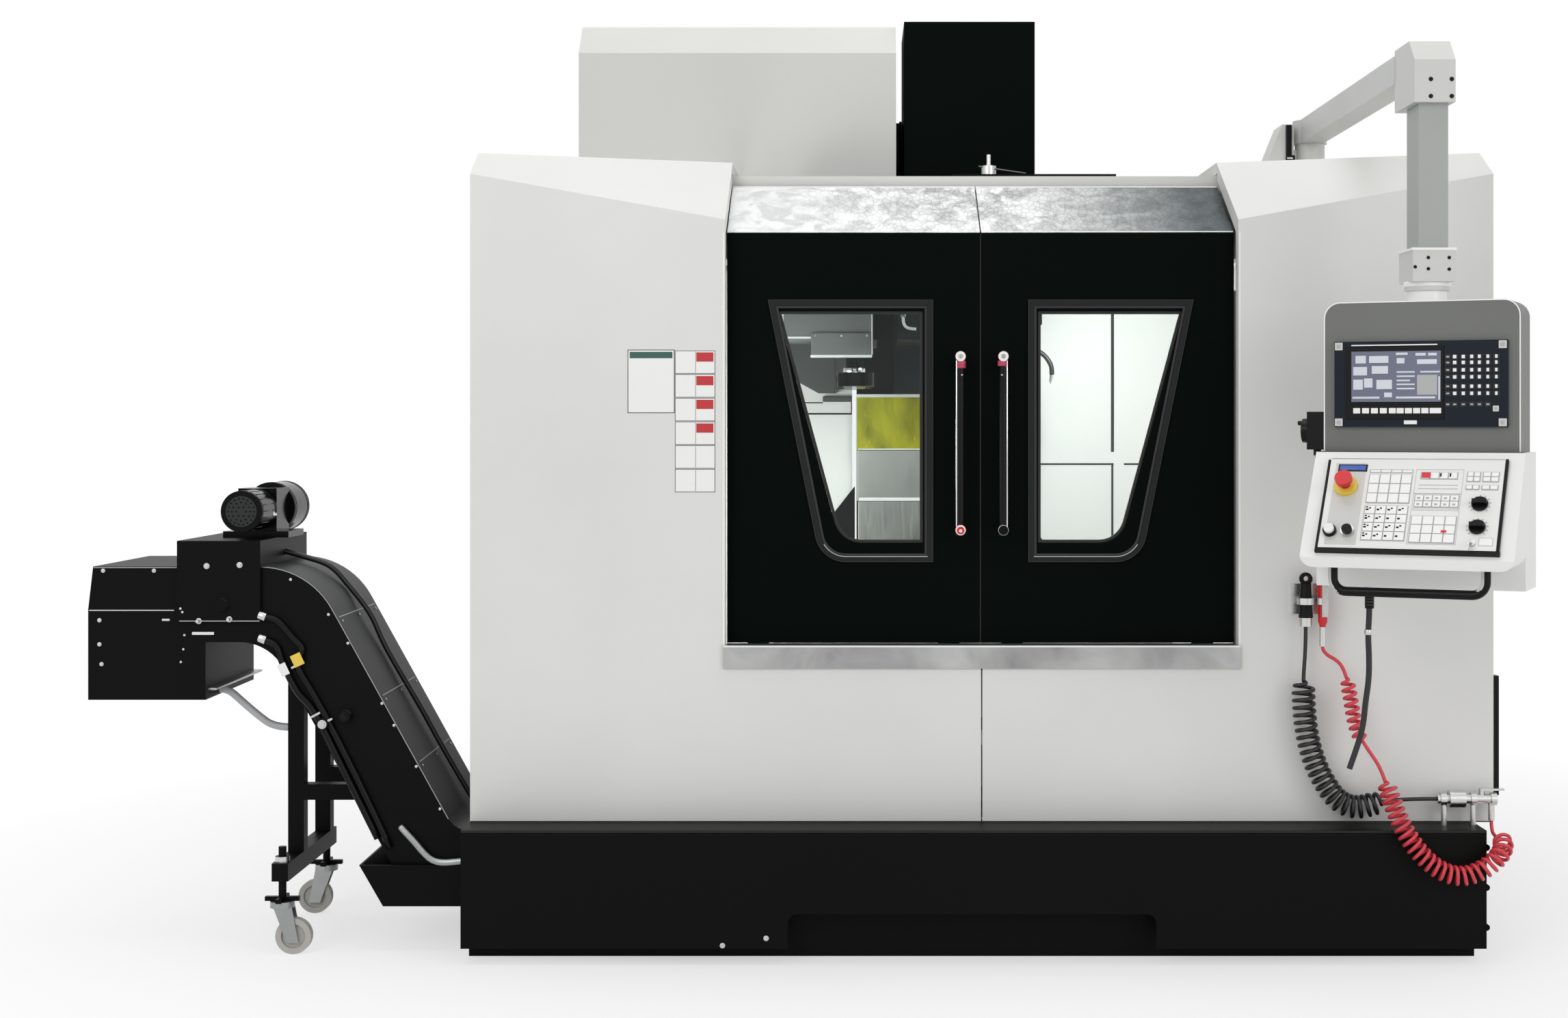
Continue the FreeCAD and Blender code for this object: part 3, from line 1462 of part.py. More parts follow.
def pendant():
    """Screen case, sloped console and the parts that sit on them."""
    case = profile("XZ", [("-case_half", "case_low"), ("case_half", "case_low"),
                          ("case_half", "case_high"), ("-case_half", "case_high")],
                   "case_near", "case_far", {2: "case_radius", 3: "case_radius"})
    collar = rod("Z", "0", "0", "case_high - wall", "neck_low - fit_gap", "collar_radius")
    dial_box = block("dial_box_west", "-case_half", "dial_box_near", "dial_box_far",
                     "dial_box_low", "dial_box_high")
    node("pendant_case", on_pendant(fused(case, collar, dial_box)))
    screen = block("-screen_half", "screen_half", "case_near - screen_proud", "case_near",
                   "screen_low", "screen_high")
    node("screen_unit", on_pendant(screen))
    points = [("case_far", "case_low"), ("console_top_near", "case_low"),
              ("console_lip", "console_lip_high"), ("console_lip", "console_lip_low"),
              ("console_step", "console_lip_low"), ("console_step", "console_low"),
              ("case_far", "console_low")]
    desk = profile("YZ", points, "-console_half", "console_half")
    corners = [corner_round(side) for side in (-1, 1)]
    gland = rod("Z", "gland_x", "0", "console_low - gland_height", "console_low",
                "gland_radius")
    reach = [Vector(-value("grip_half"), value("grip_y"), value("console_lip_low")),
             Vector(-value("grip_half"), value("grip_y"), value("grip_low")),
             Vector(value("grip_half"), value("grip_y"), value("grip_low")),
             Vector(value("grip_half"), value("grip_y"), value("console_lip_low"))]
    grip = shaped("Grip", bent_rod(reach, value("grip_bend"), value("grip_radius")))
    node("pendant_console", on_pendant(fused(cut(desk, *corners), gland, grip)))
    dial_x = "dial_box_west - fit_gap"
    dial_y = "(dial_box_near + dial_box_far) / 2"
    dial_z = "(dial_box_low + dial_box_high) / 2"
    dial = rod("X", dial_y, dial_z, f"{dial_x} - dial_thick", dial_x, "dial_radius")
    crank = rod("X", dial_y, f"{dial_z} + dial_grip_offset",
                f"{dial_x} - dial_thick - dial_grip_length", dial_x, "dial_grip_radius")
    node("handwheel", on_pendant(fused(dial, crank)))


def corner_round(side):
    """What is taken off a lower front corner of the console to round it."""
    low = "console_lip_low - cut_extra"
    near, far = "console_lip - cut_extra", "console_step"
    edge = f"{side} * (console_half + cut_extra)"
    middle = f"{side} * (console_half - console_radius)"
    square = block(*((middle, edge) if side > 0 else (edge, middle)), near, far, low,
                   "console_lip_low + console_radius")
    barrel = rod("Y", middle, "console_lip_low + console_radius", near, far, "console_radius")
    return cut(square, barrel)


def bent_rod(spots, bend, radius):
    """A round bar along straight runs with equal bends."""
    section = Part.Wire([Part.makeCircle(radius, spots[0], spots[1] - spots[0])])
    return bent_path(spots, bend)[0].makePipeShell([section], True, False)


def desk_ring(across, along, outer, inner):
    """A collar on the operator panel."""
    face = "-desk_thick"
    body = rod("Y", across, along, f"{face} - ring_height", face, outer)
    bore = rod("Y", across, along, f"{face} - ring_height - cut_extra", face, inner)
    return cut(body, bore)


def operator_panel():
    """Desk plate with collars, its keys, knobs, buttons and the emergency stop."""
    plate = block("-desk_half", "desk_half", "-desk_thick", "0", "-desk_rise", "desk_rise")
    collars = [desk_ring("stop_u", "stop_v", "stop_ring", "stop_stem + shaft_gap"),
               desk_ring("start_u", "button_v", "button_ring", "button_radius + shaft_gap"),
               desk_ring("halt_u", "button_v", "button_ring", "button_radius + shaft_gap"),
               rod("Y", "key_u", "key_v", "-desk_thick - key_height", "-desk_thick",
                   "key_radius")]
    node("operator_panel", on_desk(fused(plate, *collars)))
    rest = "-desk_thick - stop_stroke - fit_gap"
    stem = rod("Y", "stop_u", "stop_v", f"{rest} - stop_cap_high", rest, "stop_stem")
    cap = rod("Y", "stop_u", "stop_v", f"{rest} - stop_cap_high", f"{rest} - stop_cap_low",
              "stop_cap")
    node("emergency_stop", on_desk(fused(stem, cap)))
    for label, across in (("start_button", "start_u"), ("hold_button", "halt_u")):
        base = "-desk_thick - button_stroke - fit_gap"
        button = rod("Y", across, "button_v", f"{base} - button_high", base, "button_radius")
        node(label, on_desk(button))
    for label, along in (("feed_knob", "feed_v"), ("speed_knob", "speed_v")):
        skirt = rod("Y", "knob_u", along, "-desk_thick - fit_gap - knob_skirt",
                    "-desk_thick - fit_gap", "knob_radius")
        ridge = block("knob_u - knob_ridge", "knob_u + knob_ridge",
                      "-desk_thick - fit_gap - knob_height", "-desk_thick - fit_gap",
                      f"{along} - knob_rib", f"{along} + knob_rib")
        node(label, on_desk(fused(skirt, ridge)))


# ---------------------------------------------------------------- guns and air supply

def guns():
    """Wash gun and air gun in their holder on the right cover."""
    y = depth("gun_axis")
    body = cone("gun_x", y, "gun_low", "gun_high", "gun_low_radius", "gun_high_radius")
    collar = rod("Z", "gun_x", y, "gun_collar_low", "gun_low", "gun_collar_radius")
    eye = rod("Y", "gun_x", "gun_high + gun_ring_rise", f"{y} - gun_ring_thick / 2",
              f"{y} + gun_ring_thick / 2", "gun_ring_radius")
    hole = rod("Y", "gun_x", "gun_high + gun_hole_rise",
               f"{y} - gun_ring_thick", f"{y} + gun_ring_thick", "gun_ring_hole")
    node("wash_gun", cut(fused(body, collar, eye), hole))
    grip = turned([("0", "0"), ("blow_tip_radius", "0"), ("blow_radius", "blow_tip_radius * 2"),
                   ("blow_radius", "blow_high - blow_low - blow_radius"),
                   ("nozzle_root", "blow_high - blow_low"), ("0", "blow_high - blow_low")],
                  ("blow_x", y, "blow_low"))
    nozzle = rod("Z", "blow_x", y, "blow_high", "nozzle_high", "nozzle_radius")
    fitting = rod("Z", "blow_x", y, "fitting_low", "blow_low", "fitting_radius")
    lug = block("blow_x - lever_half", "blow_x + lever_half", f"{y} - lever_offset",
                y, "lever_lug_low", "lever_lug_high")
    node("air_gun", fused(grip, nozzle, fitting, lug))
    pin = f"{y} - lever_offset - lever_barrel - fit_gap"
    lever = block("blow_x - lever_half", "blow_x + lever_half", f"{pin} - lever_thick / 2",
                  f"{pin} + lever_thick / 2", "lever_low", "(lever_lug_low + lever_lug_high) / 2")
    barrel = rod("X", pin, "(lever_lug_low + lever_lug_high) / 2", "blow_x - lever_half",
                 "blow_x + lever_half", "lever_barrel")
    node("air_gun_lever", fused(lever, barrel))
    plate = block("holder_plate_west", "holder_plate_east", depth("-holder_plate_thick"),
                  depth("0"), "holder_plate_low", "holder_plate_high")
    bands = []
    bores = []
    for x, radius in (("gun_x", "gun_grip_radius"), ("blow_x", "blow_radius")):
        bands.append(rod("Z", x, y, "holder_low", "holder_high",
                         f"{radius} + fit_gap + holder_ring"))
        bands.append(block(f"{x} - holder_ring", f"{x} + holder_ring", y,
                           depth("-holder_plate_thick"), "holder_low", "holder_high"))
        bores.append(rod("Z", x, y, "holder_low - cut_extra", "holder_high + cut_extra",
                         f"{radius} + fit_gap"))
    node("gun_holder", cut(fused(plate, *bands), *bores))


def air_manifold():
    """Pipe manifold on the ledge, with its filter bowl and ball valve."""
    y = depth("manifold_axis")
    first = "body_half - manifold_start"
    last = "body_half - manifold_end"
    pipe = rod("X", y, "manifold_z", first, last, "manifold_radius")
    bowl = rod("X", y, "manifold_z", "body_half - bowl_start", "body_half - bowl_end",
               "bowl_radius")
    nuts = [rod("X", y, "manifold_z", start, f"{start} + manifold_nut_length",
                "manifold_nut_radius")
            for start in (f"{first} + manifold_nut_length / 2",
                          "body_half - bowl_end + manifold_nut_length",
                          f"{last} - manifold_nut_length")]
    risers = [rod("Z", x, y, "skirt_top", "manifold_z", "riser_radius")
              for x in ("body_half - riser_first", "body_half - riser_second")]
    neck = rod("Z", "body_half - valve_x", y, "manifold_z",
               "manifold_z + manifold_radius + valve_neck_height", "valve_neck")
    outlet = rod("Z", "body_half - outlet_x", y, "outlet_low", "manifold_z", "outlet_radius")
    node("air_manifold", fused(pipe, bowl, neck, outlet, *nuts, *risers))
    low = "manifold_z + manifold_radius + valve_neck_height + fit_gap"
    hub = rod("Z", "body_half - valve_x", y, low, f"{low} + valve_arm_thick", "valve_neck")
    arm = block("body_half - valve_x", "body_half - valve_x + valve_arm_length",
                f"{y} - valve_arm_half", f"{y} + valve_arm_half", low,
                f"{low} + valve_arm_thick")
    node("valve_lever", fused(hub, arm))


# ---------------------------------------------------------------- chip conveyor

def incline_x(level, inset):
    """X of a line parallel to the incline's upper side, set in by a distance, at a level."""
    return (f"(crest_x - (({inset}) + (({level}) - run_top) * cos(lift_angle)) / sin(lift_angle))")


def conveyor_outline(inset):
    """Side view of the conveyor's trough, drawn in by its sheet."""
    top, low = f"run_top - {inset}", f"run_low + {inset}"
    tail_top, tail_low = f"trough_high - {inset}", f"tray_low + wall + {inset}"
    far_side = f"trough_thick - {inset}"
    return [(f"chute_west + {inset}", "chute_low"),
            (f"chute_east - {inset}", "chute_low"),
            (f"chute_east - {inset}", low),
            (incline_x(low, far_side), low),
            (incline_x(tail_low, far_side), tail_low),
            (f"trough_tail - {inset}", tail_low),
            (f"trough_tail - {inset}", tail_top),
            (incline_x(tail_top, inset), tail_top),
            (incline_x(top, inset), top),
            (f"chute_west + chute_set_in + {inset}", top),
            (f"chute_west + {inset}", "chute_shoulder")]


def conveyor_prism(inset, near, far):
    """The trough's side view padded between two depths, with its bends."""
    corners = {3: f"crest_inner_radius + {inset}", 4: f"foot_outer_radius - {inset}",
               7: f"foot_inner_radius + {inset}", 8: f"crest_outer_radius - {inset}"}
    return profile("XZ", conveyor_outline(inset), near, far, corners)


def conveyor_trough():
    """Folded trough with its discharge chute and the side plates of the drive."""
    near, far = depth("trough_near"), depth("trough_far")
    outer = conveyor_prism("0", near, far)
    inner = conveyor_prism("trough_sheet", f"{near} + trough_sheet", f"{far} - trough_sheet")
    mouth = block("chute_west + trough_sheet", "chute_east - trough_sheet",
                  f"{near} + trough_sheet", f"{far} - trough_sheet",
                  "chute_low - cut_extra", "chute_low + trough_sheet * 2")
    hatch = block("trough_open_west", "trough_open_east", f"{near} + trough_sheet",
                  f"{far} - trough_sheet", "trough_high - trough_sheet * 2",
                  "trough_high + cut_extra")
    cheeks = [block("drive_west", "drive_east", start, f"{start} + drive_proud",
                    "drive_low", "drive_high")
              for start in (f"{near} - drive_proud", far)]
    lid = block("drive_west", "drive_east", f"{near} - drive_proud", f"{far} + drive_proud",
                "drive_high", "drive_lid_high")
    ends = [block(start, f"{start} + trough_sheet", near, far, "run_top", "drive_high")
            for start in ("drive_west", "drive_east - trough_sheet")]
    bore = rod("Y", "shaft_x", "shaft_z", f"{near} - drive_proud - cut_extra",
               f"{far} + drive_proud + cut_extra", "shaft_radius + shaft_gap")
    bosses = [rod("Y", f"boss_x + {place} * boss_pitch", f"boss_z + {place} * boss_step",
                  f"{near} - boss_length", near, "boss_radius") for place in (0, 1)]
    runners = [block("runner_west", "runner_east", depth(start), depth(f"{start} + runner_width"),
                     "tray_low + wall + trough_sheet", "tray_low + wall + belt_inset")
               for start in ("runner_near", "runner_far")]
    body = cut(fused(outer, lid, *cheeks, *ends, *bosses), inner, mouth, hatch, bore)
    return node("conveyor_trough", fused(body, *runners))


def belt_outline(inset):
    """Closed loop of the hinged belt, drawn in from the trough."""
    low = f"run_low + {inset}"
    tail_low = f"tray_low + wall + {inset}"
    top, tail_top = f"run_top - {inset}", f"trough_high - {inset}"
    far_side = f"trough_thick - {inset}"
    head = f"shaft_x - (run_top - run_low) / 2 + {inset}"
    return [(head, low), (incline_x(low, far_side), low),
            (incline_x(tail_low, far_side), tail_low), (f"belt_tail - {inset}", tail_low),
            (f"belt_tail - {inset}", tail_top), (incline_x(tail_top, inset), tail_top),
            (incline_x(top, inset), top), (head, top)]


def belt_prism(inset, near, far):
    """The belt's loop padded across the trough."""
    nose = f"(run_top - run_low) / 2 - {inset} - cut_extra"
    tail = f"(trough_high - tray_low - wall) / 2 - {inset} - cut_extra"
    corners = {0: nose, 1: f"crest_inner_radius + {inset}", 2: f"foot_outer_radius - {inset}",
               3: tail, 4: tail, 5: f"foot_inner_radius + {inset}",
               6: f"crest_outer_radius - {inset}", 7: nose}
    return profile("XZ", belt_outline(inset), near, far, corners)


def conveyor_drive():
    """Belt loop, sprocket shaft and the gear motor on the lid."""
    near = depth("trough_near + trough_sheet + belt_side_gap")
    far = depth("trough_far - trough_sheet - belt_side_gap")
    loop = cut(belt_prism("belt_inset", near, far),
               belt_prism("(belt_inset + belt_thick)", f"{near} - cut_extra", f"{far} + cut_extra"))
    node("conveyor_belt", loop)
    shaft = rod("Y", "shaft_x", "shaft_z", depth("trough_near - drive_proud * 2"),
                depth("trough_far + drive_proud * 2"), "shaft_radius")
    wheels = [sprocket(start) for start in ("sprocket_near", "sprocket_far")]
    node("drive_shaft", fused(shaft, *wheels))
    front = rod("Y", "motor_x", "motor_z", depth("motor_front_near"), depth("motor_front_far"),
                "motor_front_radius")
    rear = rod("Y", "motor_x", "motor_z", depth("motor_rear_near"), depth("motor_rear_far"),
               "motor_rear_radius")
    gearbox = block("motor_x - gearbox_half", "motor_x + gearbox_half",
                    depth("motor_front_far"), depth("motor_rear_near"), "gearbox_low",
                    "gearbox_high")
    foot = block("motor_x - motor_foot_half", "motor_x + motor_foot_half",
                 depth("motor_front_far - motor_foot_thick"),
                 depth("motor_rear_near + motor_foot_thick"),
                 "drive_lid_high", "drive_lid_high + motor_foot_thick")
    node("gear_motor", fused(front, rear, gearbox, foot))


def sprocket(start):
    """Eight-sided wheel that turns the hinged belt."""
    wheel = doc.addObject("Part::Prism", "Sprocket")
    wheel.Polygon = 8
    wheel.Placement = FreeCAD.Placement(Vector(), Rotation(*TURNS["Y"]))
    wheel.setExpression("Circumradius", bound("sprocket_radius"))
    wheel.setExpression("Height", bound("sprocket_thick"))
    return seat(wheel, ("shaft_x", depth(start), "shaft_z"))


def conveyor_frame():
    """Welded stand under the conveyor with its jack screws."""
    west, east = "leg_x - leg_half", "leg_x + leg_half"
    beam = block(west, east, depth("beam_front"), depth("beam_back"), "beam_low", "beam_high")
    posts = [block(west, east, depth(start), depth(f"{start} + post_width"), "beam_high",
                   "post_reach") for start in ("post_near", "post_far")]
    braces = [block(east, f"{east} + brace_reach", depth(start), depth(f"{start} + post_width"),
                    "brace_low", "brace_high") for start in ("post_near", "post_far")]
    keep_out = conveyor_prism("0", depth("trough_near"), depth("trough_far"))
    above = block("crest_x - brace_reach", "crest_x + brace_reach * 2", depth("trough_near"),
                  depth("trough_far"), "run_low - fit_gap", "run_top")
    screws = []
    for start in ("screw_near", "screw_far"):
        middle = depth(start)
        screws.append(rod("Z", "leg_x", middle, "star_low", "screw_high", "screw_radius"))
        screws.append(rod("Z", "leg_x", middle, "beam_high", "beam_high + screw_nut_height",
                          "screw_nut_radius"))
        screws.append(block("leg_x - star_half", "leg_x + star_half",
                            f"{middle} - star_width / 2", f"{middle} + star_width / 2",
                            "star_low", "star_high"))
        screws.append(block("leg_x - star_width / 2", "leg_x + star_width / 2",
                            f"{middle} - star_half", f"{middle} + star_half",
                            "star_low", "star_high"))
    stand = cut(fused(beam, *posts, *braces), keep_out, above)
    return node("conveyor_frame", fused(stand, *screws))


def caster(start, trail, suffix):
    """Swivel fork and wheel under a jack screw."""
    y = depth(start)
    x = f"(leg_x + {trail} * caster_trail)"
    plate = rod("Z", "leg_x", y, "caster_plate_low", "caster_plate_high",
                "caster_plate_radius")
    cheeks = []
    for side in (-1, 1):
        inner = "(wheel_half + fork_gap)"
        near, far = ((f"{y} + {inner}", f"{y} + {inner} + fork_sheet") if side > 0 else
                     (f"{y} - {inner} - fork_sheet", f"{y} - {inner}"))
        cheeks.append(profile("XZ", [(f"{x} - fork_half", "wheel_radius - fork_half"),
                                     (f"{x} + fork_half", "wheel_radius - fork_half"),
                                     ("leg_x + fork_top_half", "caster_plate_high"),
                                     ("leg_x - fork_top_half", "caster_plate_high")],
                              near, far))
    pin = rod("Y", x, "wheel_radius", f"{y} - wheel_half - fork_gap - fork_sheet",
              f"{y} + wheel_half + fork_gap + fork_sheet", "fork_pin_radius")
    node(f"caster_fork_{suffix}", fused(plate, pin, *cheeks))
    hole = "fork_pin_radius + fit_gap"
    points = [(hole, "-wheel_half / 2"), ("wheel_groove", "-wheel_half / 2"),
              ("wheel_groove", "-wheel_half"), ("wheel_radius", "-wheel_half"),
              ("wheel_radius", "wheel_half"), ("wheel_groove", "wheel_half"),
              ("wheel_groove", "wheel_half / 2"), (hole, "wheel_half / 2")]
    node(f"caster_wheel_{suffix}", turned(points, (x, y, "wheel_radius"), "Y"))


# ---------------------------------------------------------------- hoses

WASH_ROUTE = [(900, -1245, 924), (900, -1245, 862), (891, -1250, 770), (896, -1250, 660),
              (914, -1250, 568), (947, -1250, 493), (990, -1250, 434), (1044, -1250, 417),
              (1112, -1249, 438), (1196, -1245, 443), (1266, -1245, 443)]
AIR_ROUTE = [(947, -1245, 868), (947, -1245, 846), (1000, -1262, 826), (1018, -1272, 734),
             (1030, -1280, 643), (1060, -1292, 590), (1094, -1310, 540), (1112, -1340, 463),
             (1150, -1364, 362), (1212, -1378, 284), (1284, -1382, 250), (1352, -1382, 268),
             (1404, -1376, 308), (1430, -1330, 338), (1418, -1262, 344), (1417, -1245, 360),
             (1417, -1245, 384)]
DRAIN_ROUTE = [(-2190, -1018, 722), (-2166, -1018, 722), (-2130, -1019, 690),
               (-2084, -1020, 650), (-2034, -1018, 612), (-1988, -1018, 612)]
PENDANT_ROUTE = [(1005, -1556.6, 1045), (1005, -1556.6, 990), (1001, -1557, 930),
                 (1004, -1558, 870), (1003, -1558, 810), (994, -1557, 750),
                 (989, -1556, 690), (972, -1555, 630), (952, -1555, 575)]
# Curls: where they start and end along the route, how many turns, and the radius of the coil.
WASH_CURLS = [(150, 640, 24, 28)]
AIR_CURLS = [(112, 300, 9, 17), (420, 985, 28, 23)]


def hoses():
    """Free hoses and cables."""
    node("wash_hose", curly_hose("wash_hose", WASH_ROUTE, WASH_CURLS, value("wash_hose_radius")))
    node("air_hose", curly_hose("air_hose", AIR_ROUTE, AIR_CURLS, value("air_hose_radius")))
    node("drain_hose", tube("drain_hose", DRAIN_ROUTE, value("drain_hose_radius")))
    node("pendant_cable", tube("pendant_cable", PENDANT_ROUTE, value("cable_radius")))


# ---------------------------------------------------------------- build and export

def build():
    """Make every sub-part."""
    side_covers()
    base_skirt()
    machine_bed()
    levelling_feet()
    column()
    door_sill()
    roof_beam()
    cabin_liner()
    way_shields()
    for side, word in ((-1, "left"), (1, "right")):
        door(side, f"door_{word}")
        window(side, f"window_{word}")
        handle(side, f"handle_{word}")
    spindle_head()
    spindle()
    head_cover()
    magazine_cover()
    tool_changer()
    magazine_disc()
    tool_change_arm()
    saddle()
    table()
    electrical_cabinet()
    pendant_arm()
    pendant()
    operator_panel()
    guns()
    air_manifold()
    conveyor_trough()
    conveyor_drive()
    conveyor_frame()
    caster("screw_near", 1, "front")
    caster("screw_far", -1, "rear")
    hoses()
    doc.recompute()


def export():
    """Check every object and write one file per sub-part."""
    for item in doc.Objects:
        if "Invalid" in item.State or "Error" in item.State:
            raise RuntimeError(f"{item.Name} ({item.Label}) failed: {item.State}")
    for item in NODES:
        if item.Shape.isNull() or not item.Shape.isValid() or not item.Shape.Solids:
            raise RuntimeError(f"{item.Label} has no valid solid")
    os.makedirs("parts", exist_ok=True)
    for item in NODES:
        item.Shape.exportStep(f"parts/{item.Label}.step")
    print(len(NODES), "sub-parts written")


build()
export()
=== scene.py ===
"""Looks of a vertical machining centre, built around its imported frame. Metres."""

import json
import math

import bmesh
import bpy
from mathutils import Matrix, Vector

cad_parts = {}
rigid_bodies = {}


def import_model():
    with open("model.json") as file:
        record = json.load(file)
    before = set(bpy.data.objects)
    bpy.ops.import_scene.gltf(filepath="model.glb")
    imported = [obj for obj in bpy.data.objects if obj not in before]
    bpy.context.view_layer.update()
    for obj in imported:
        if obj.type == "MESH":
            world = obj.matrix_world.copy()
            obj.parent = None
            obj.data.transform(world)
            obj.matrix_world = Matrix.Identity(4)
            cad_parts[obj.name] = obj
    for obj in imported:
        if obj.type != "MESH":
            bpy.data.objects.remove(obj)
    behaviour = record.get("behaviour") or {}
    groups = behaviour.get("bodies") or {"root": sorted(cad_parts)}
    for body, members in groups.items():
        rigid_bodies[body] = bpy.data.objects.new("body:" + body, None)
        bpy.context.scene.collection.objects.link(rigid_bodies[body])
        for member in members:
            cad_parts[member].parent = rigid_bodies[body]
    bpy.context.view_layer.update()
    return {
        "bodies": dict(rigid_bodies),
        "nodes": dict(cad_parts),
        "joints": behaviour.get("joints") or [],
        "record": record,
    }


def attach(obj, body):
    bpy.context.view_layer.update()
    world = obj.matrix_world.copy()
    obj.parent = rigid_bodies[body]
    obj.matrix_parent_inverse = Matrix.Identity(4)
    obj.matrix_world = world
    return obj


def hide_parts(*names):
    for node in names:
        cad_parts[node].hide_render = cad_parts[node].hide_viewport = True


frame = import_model()
NODES = frame["nodes"]
FRONT = -1.2    # Y of the covers' front faces


def at(x, depth, z):
    """A point given in millimetres, its depth counted from the covers' front faces."""
    return Vector((x / 1000, FRONT + depth / 1000, z / 1000))


def mm(x, y, z):
    """A point or a shift given in millimetres."""
    return Vector((x, y, z)) / 1000


# -------------------- materials

class Tree:
    """The nodes of a material or a world under construction."""

    def __init__(self, owner, end):
        owner.use_nodes = True
        self.owner = owner
        self.tree = owner.node_tree
        self.end = self.tree.nodes[end]

    def feed(self, node, inputs):
        """Give a node's inputs their values, or the outputs that they follow."""
        for name, source in inputs.items():
            if isinstance(source, bpy.types.NodeSocket):
                self.tree.links.new(source, node.inputs[name])
            else:
                node.inputs[name].default_value = source

    def add(self, kind, output, inputs, **settings):
        """Add a node and return one of its outputs."""
        node = self.tree.nodes.new(kind)
        for key, setting in settings.items():
            setattr(node, key, setting)
        self.feed(node, inputs)
        return node.outputs[output]

    def blend(self, share, first, second):
        """Make the surface a mix of two shaders."""
        mix = self.add("ShaderNodeMixShader", "Shader", {"Fac": share, 1: first, 2: second})
        self.feed(self.end, {"Surface": mix})
        return self.owner


class Look(Tree):
    """A procedural material under construction."""

    def __init__(self, name):
        super().__init__(bpy.data.materials.new(name), "Material Output")
        self.shader = self.tree.nodes["Principled BSDF"]

    def dress(self, inputs):
        """Give the shader its inputs."""
        self.feed(self.shader, inputs)
        return self.owner

    def spot(self):
        """Coordinates in metres, the same on every piece."""
        return self.add("ShaderNodeTexCoord", "Object", {})

    def place(self, scale):
        return self.add("ShaderNodeMapping", "Vector", {"Scale": scale, "Vector": self.spot()})

    def noise(self, scale, detail, stretch=(1, 1, 1), distortion=0.0):
        return self.add("ShaderNodeTexNoise", "Fac", {
            "Scale": scale, "Detail": detail, "Distortion": distortion, "Vector": self.place(stretch)})

    def spread(self, source, low, high, start=0.3, end=0.7):
        """Map a texture onto a range of values."""
        return self.add("ShaderNodeMapRange", "Result", {
            "Value": source, "From Min": start, "From Max": end, "To Min": low, "To Max": high})

    def mix(self, source, first, second, **settings):
        """Mix two colours, or two numbers, by a value."""
        first, second = ((*part, 1) if isinstance(part, tuple) else part for part in (first, second))
        return self.add("ShaderNodeMix", "Result", {"Factor": source, "A": first, "B": second},
                        **{"data_type": "RGBA", **settings})

    def clouded(self, colour, cloud, source):
        """A colour in clouds of darker and lighter tone."""
        tones = (tuple(min(1.0, channel * factor) for channel in colour)
                 for factor in (1 - cloud, 1 + cloud))
        return self.mix(self.spread(source, 0, 1), *tones)

    def relief(self, source, strength, distance):
        """Raise the surface by a texture."""
        return self.add("ShaderNodeBump", "Normal", {
            "Strength": strength, "Distance": distance, "Height": source})


def painted(name, colour, roughness, grain=900, depth=0.0002, cloud=0.05, strength=0.25, sheen=0.45):
    """Powder coat or moulded plastic: fine orange peel and faint clouds of tone."""
    look = Look(name)
    peel = look.noise(grain, 2)
    return look.dress({
        "Base Color": look.clouded(colour, cloud, look.noise(1.7, 4)),
        "Roughness": look.spread(peel, roughness - 0.05, roughness + 0.07),
        "Normal": look.relief(peel, strength, depth), "Specular IOR Level": sheen})


def metal(name, colour, roughness, grain, cloud, cloud_scale, stretch=(1, 1, 1)):
    """Bare metal with a grain along one direction and clouded tone."""
    look = Look(name)
    grained = look.noise(grain, 3, stretch)
    return look.dress({
        "Metallic": 1.0,
        "Base Color": look.clouded(colour, cloud, look.noise(cloud_scale, 6, distortion=0.6)),
        "Roughness": look.spread(grained, roughness - 0.08, roughness + 0.1),
        "Normal": look.relief(grained, 0.3, 0.0001)})


def glazing(name, tint):
    """Laminated pane: clear, faintly tinted, with reflections."""
    look = Look(name)
    clear = look.add("ShaderNodeBsdfTransparent", "BSDF", {"Color": (*tint, 1)})
    gloss = look.add("ShaderNodeBsdfGlossy", "BSDF", {
        "Color": (0.9, 0.93, 0.93, 1), "Roughness": look.spread(look.noise(6, 3), 0.02, 0.06)})
    return look.blend(0.013, clear, gloss)


COVER = painted("cover_white", (0.72, 0.72, 0.70), 0.42, cloud=0.03)
BLACK = painted("black_paint", (0.0030, 0.0036, 0.0030), 0.42, grain=1400, depth=0.0003,
                cloud=0.1, sheen=0.07)
DOOR = painted("door_black", (0.0012, 0.0028, 0.0022), 0.5, grain=1800, cloud=0.15, sheen=0.03)
RIM = painted("window_frame_charcoal", (0.014, 0.016, 0.017), 0.42, grain=1600, cloud=0.1, sheen=0.12)
BLACK_PLASTIC = painted("black_plastic", (0.004, 0.0045, 0.004), 0.3, grain=1200, cloud=0.1, sheen=0.15)
GLOSS_BLACK = painted("motor_enamel", (0.002, 0.003, 0.0025), 0.14, grain=700, cloud=0.1, sheen=0.1)
CHARCOAL = painted("charcoal_paint", (0.022, 0.024, 0.024), 0.45, grain=1400, cloud=0.08, sheen=0.2)
LINER = painted("liner_white", (0.82, 0.82, 0.80), 0.38, cloud=0.02)
GREY_PAINT = painted("head_grey", (0.17, 0.18, 0.178), 0.45)
CASE_GREY = painted("case_grey", (0.145, 0.15, 0.142), 0.48)
# Pale grey for covers, the boom, pipes, fields and keys; the same grey also paints shade on the console's
# left side and highlights along edges.
PALE_AND_PAINTED_LIGHT = painted("pale_grey", (0.59, 0.59, 0.57), 0.42, cloud=0.03)
PANEL = painted("panel_light", (0.78, 0.78, 0.76), 0.45, grain=1600, cloud=0.02)
SCREEN_CASE = painted("screen_navy", (0.006, 0.010, 0.018), 0.35, cloud=0.1, sheen=0.15)
STAINLESS = metal("stainless", (0.35, 0.36, 0.36), 0.32, 500, 0.2, 4, (0.02, 1, 1))
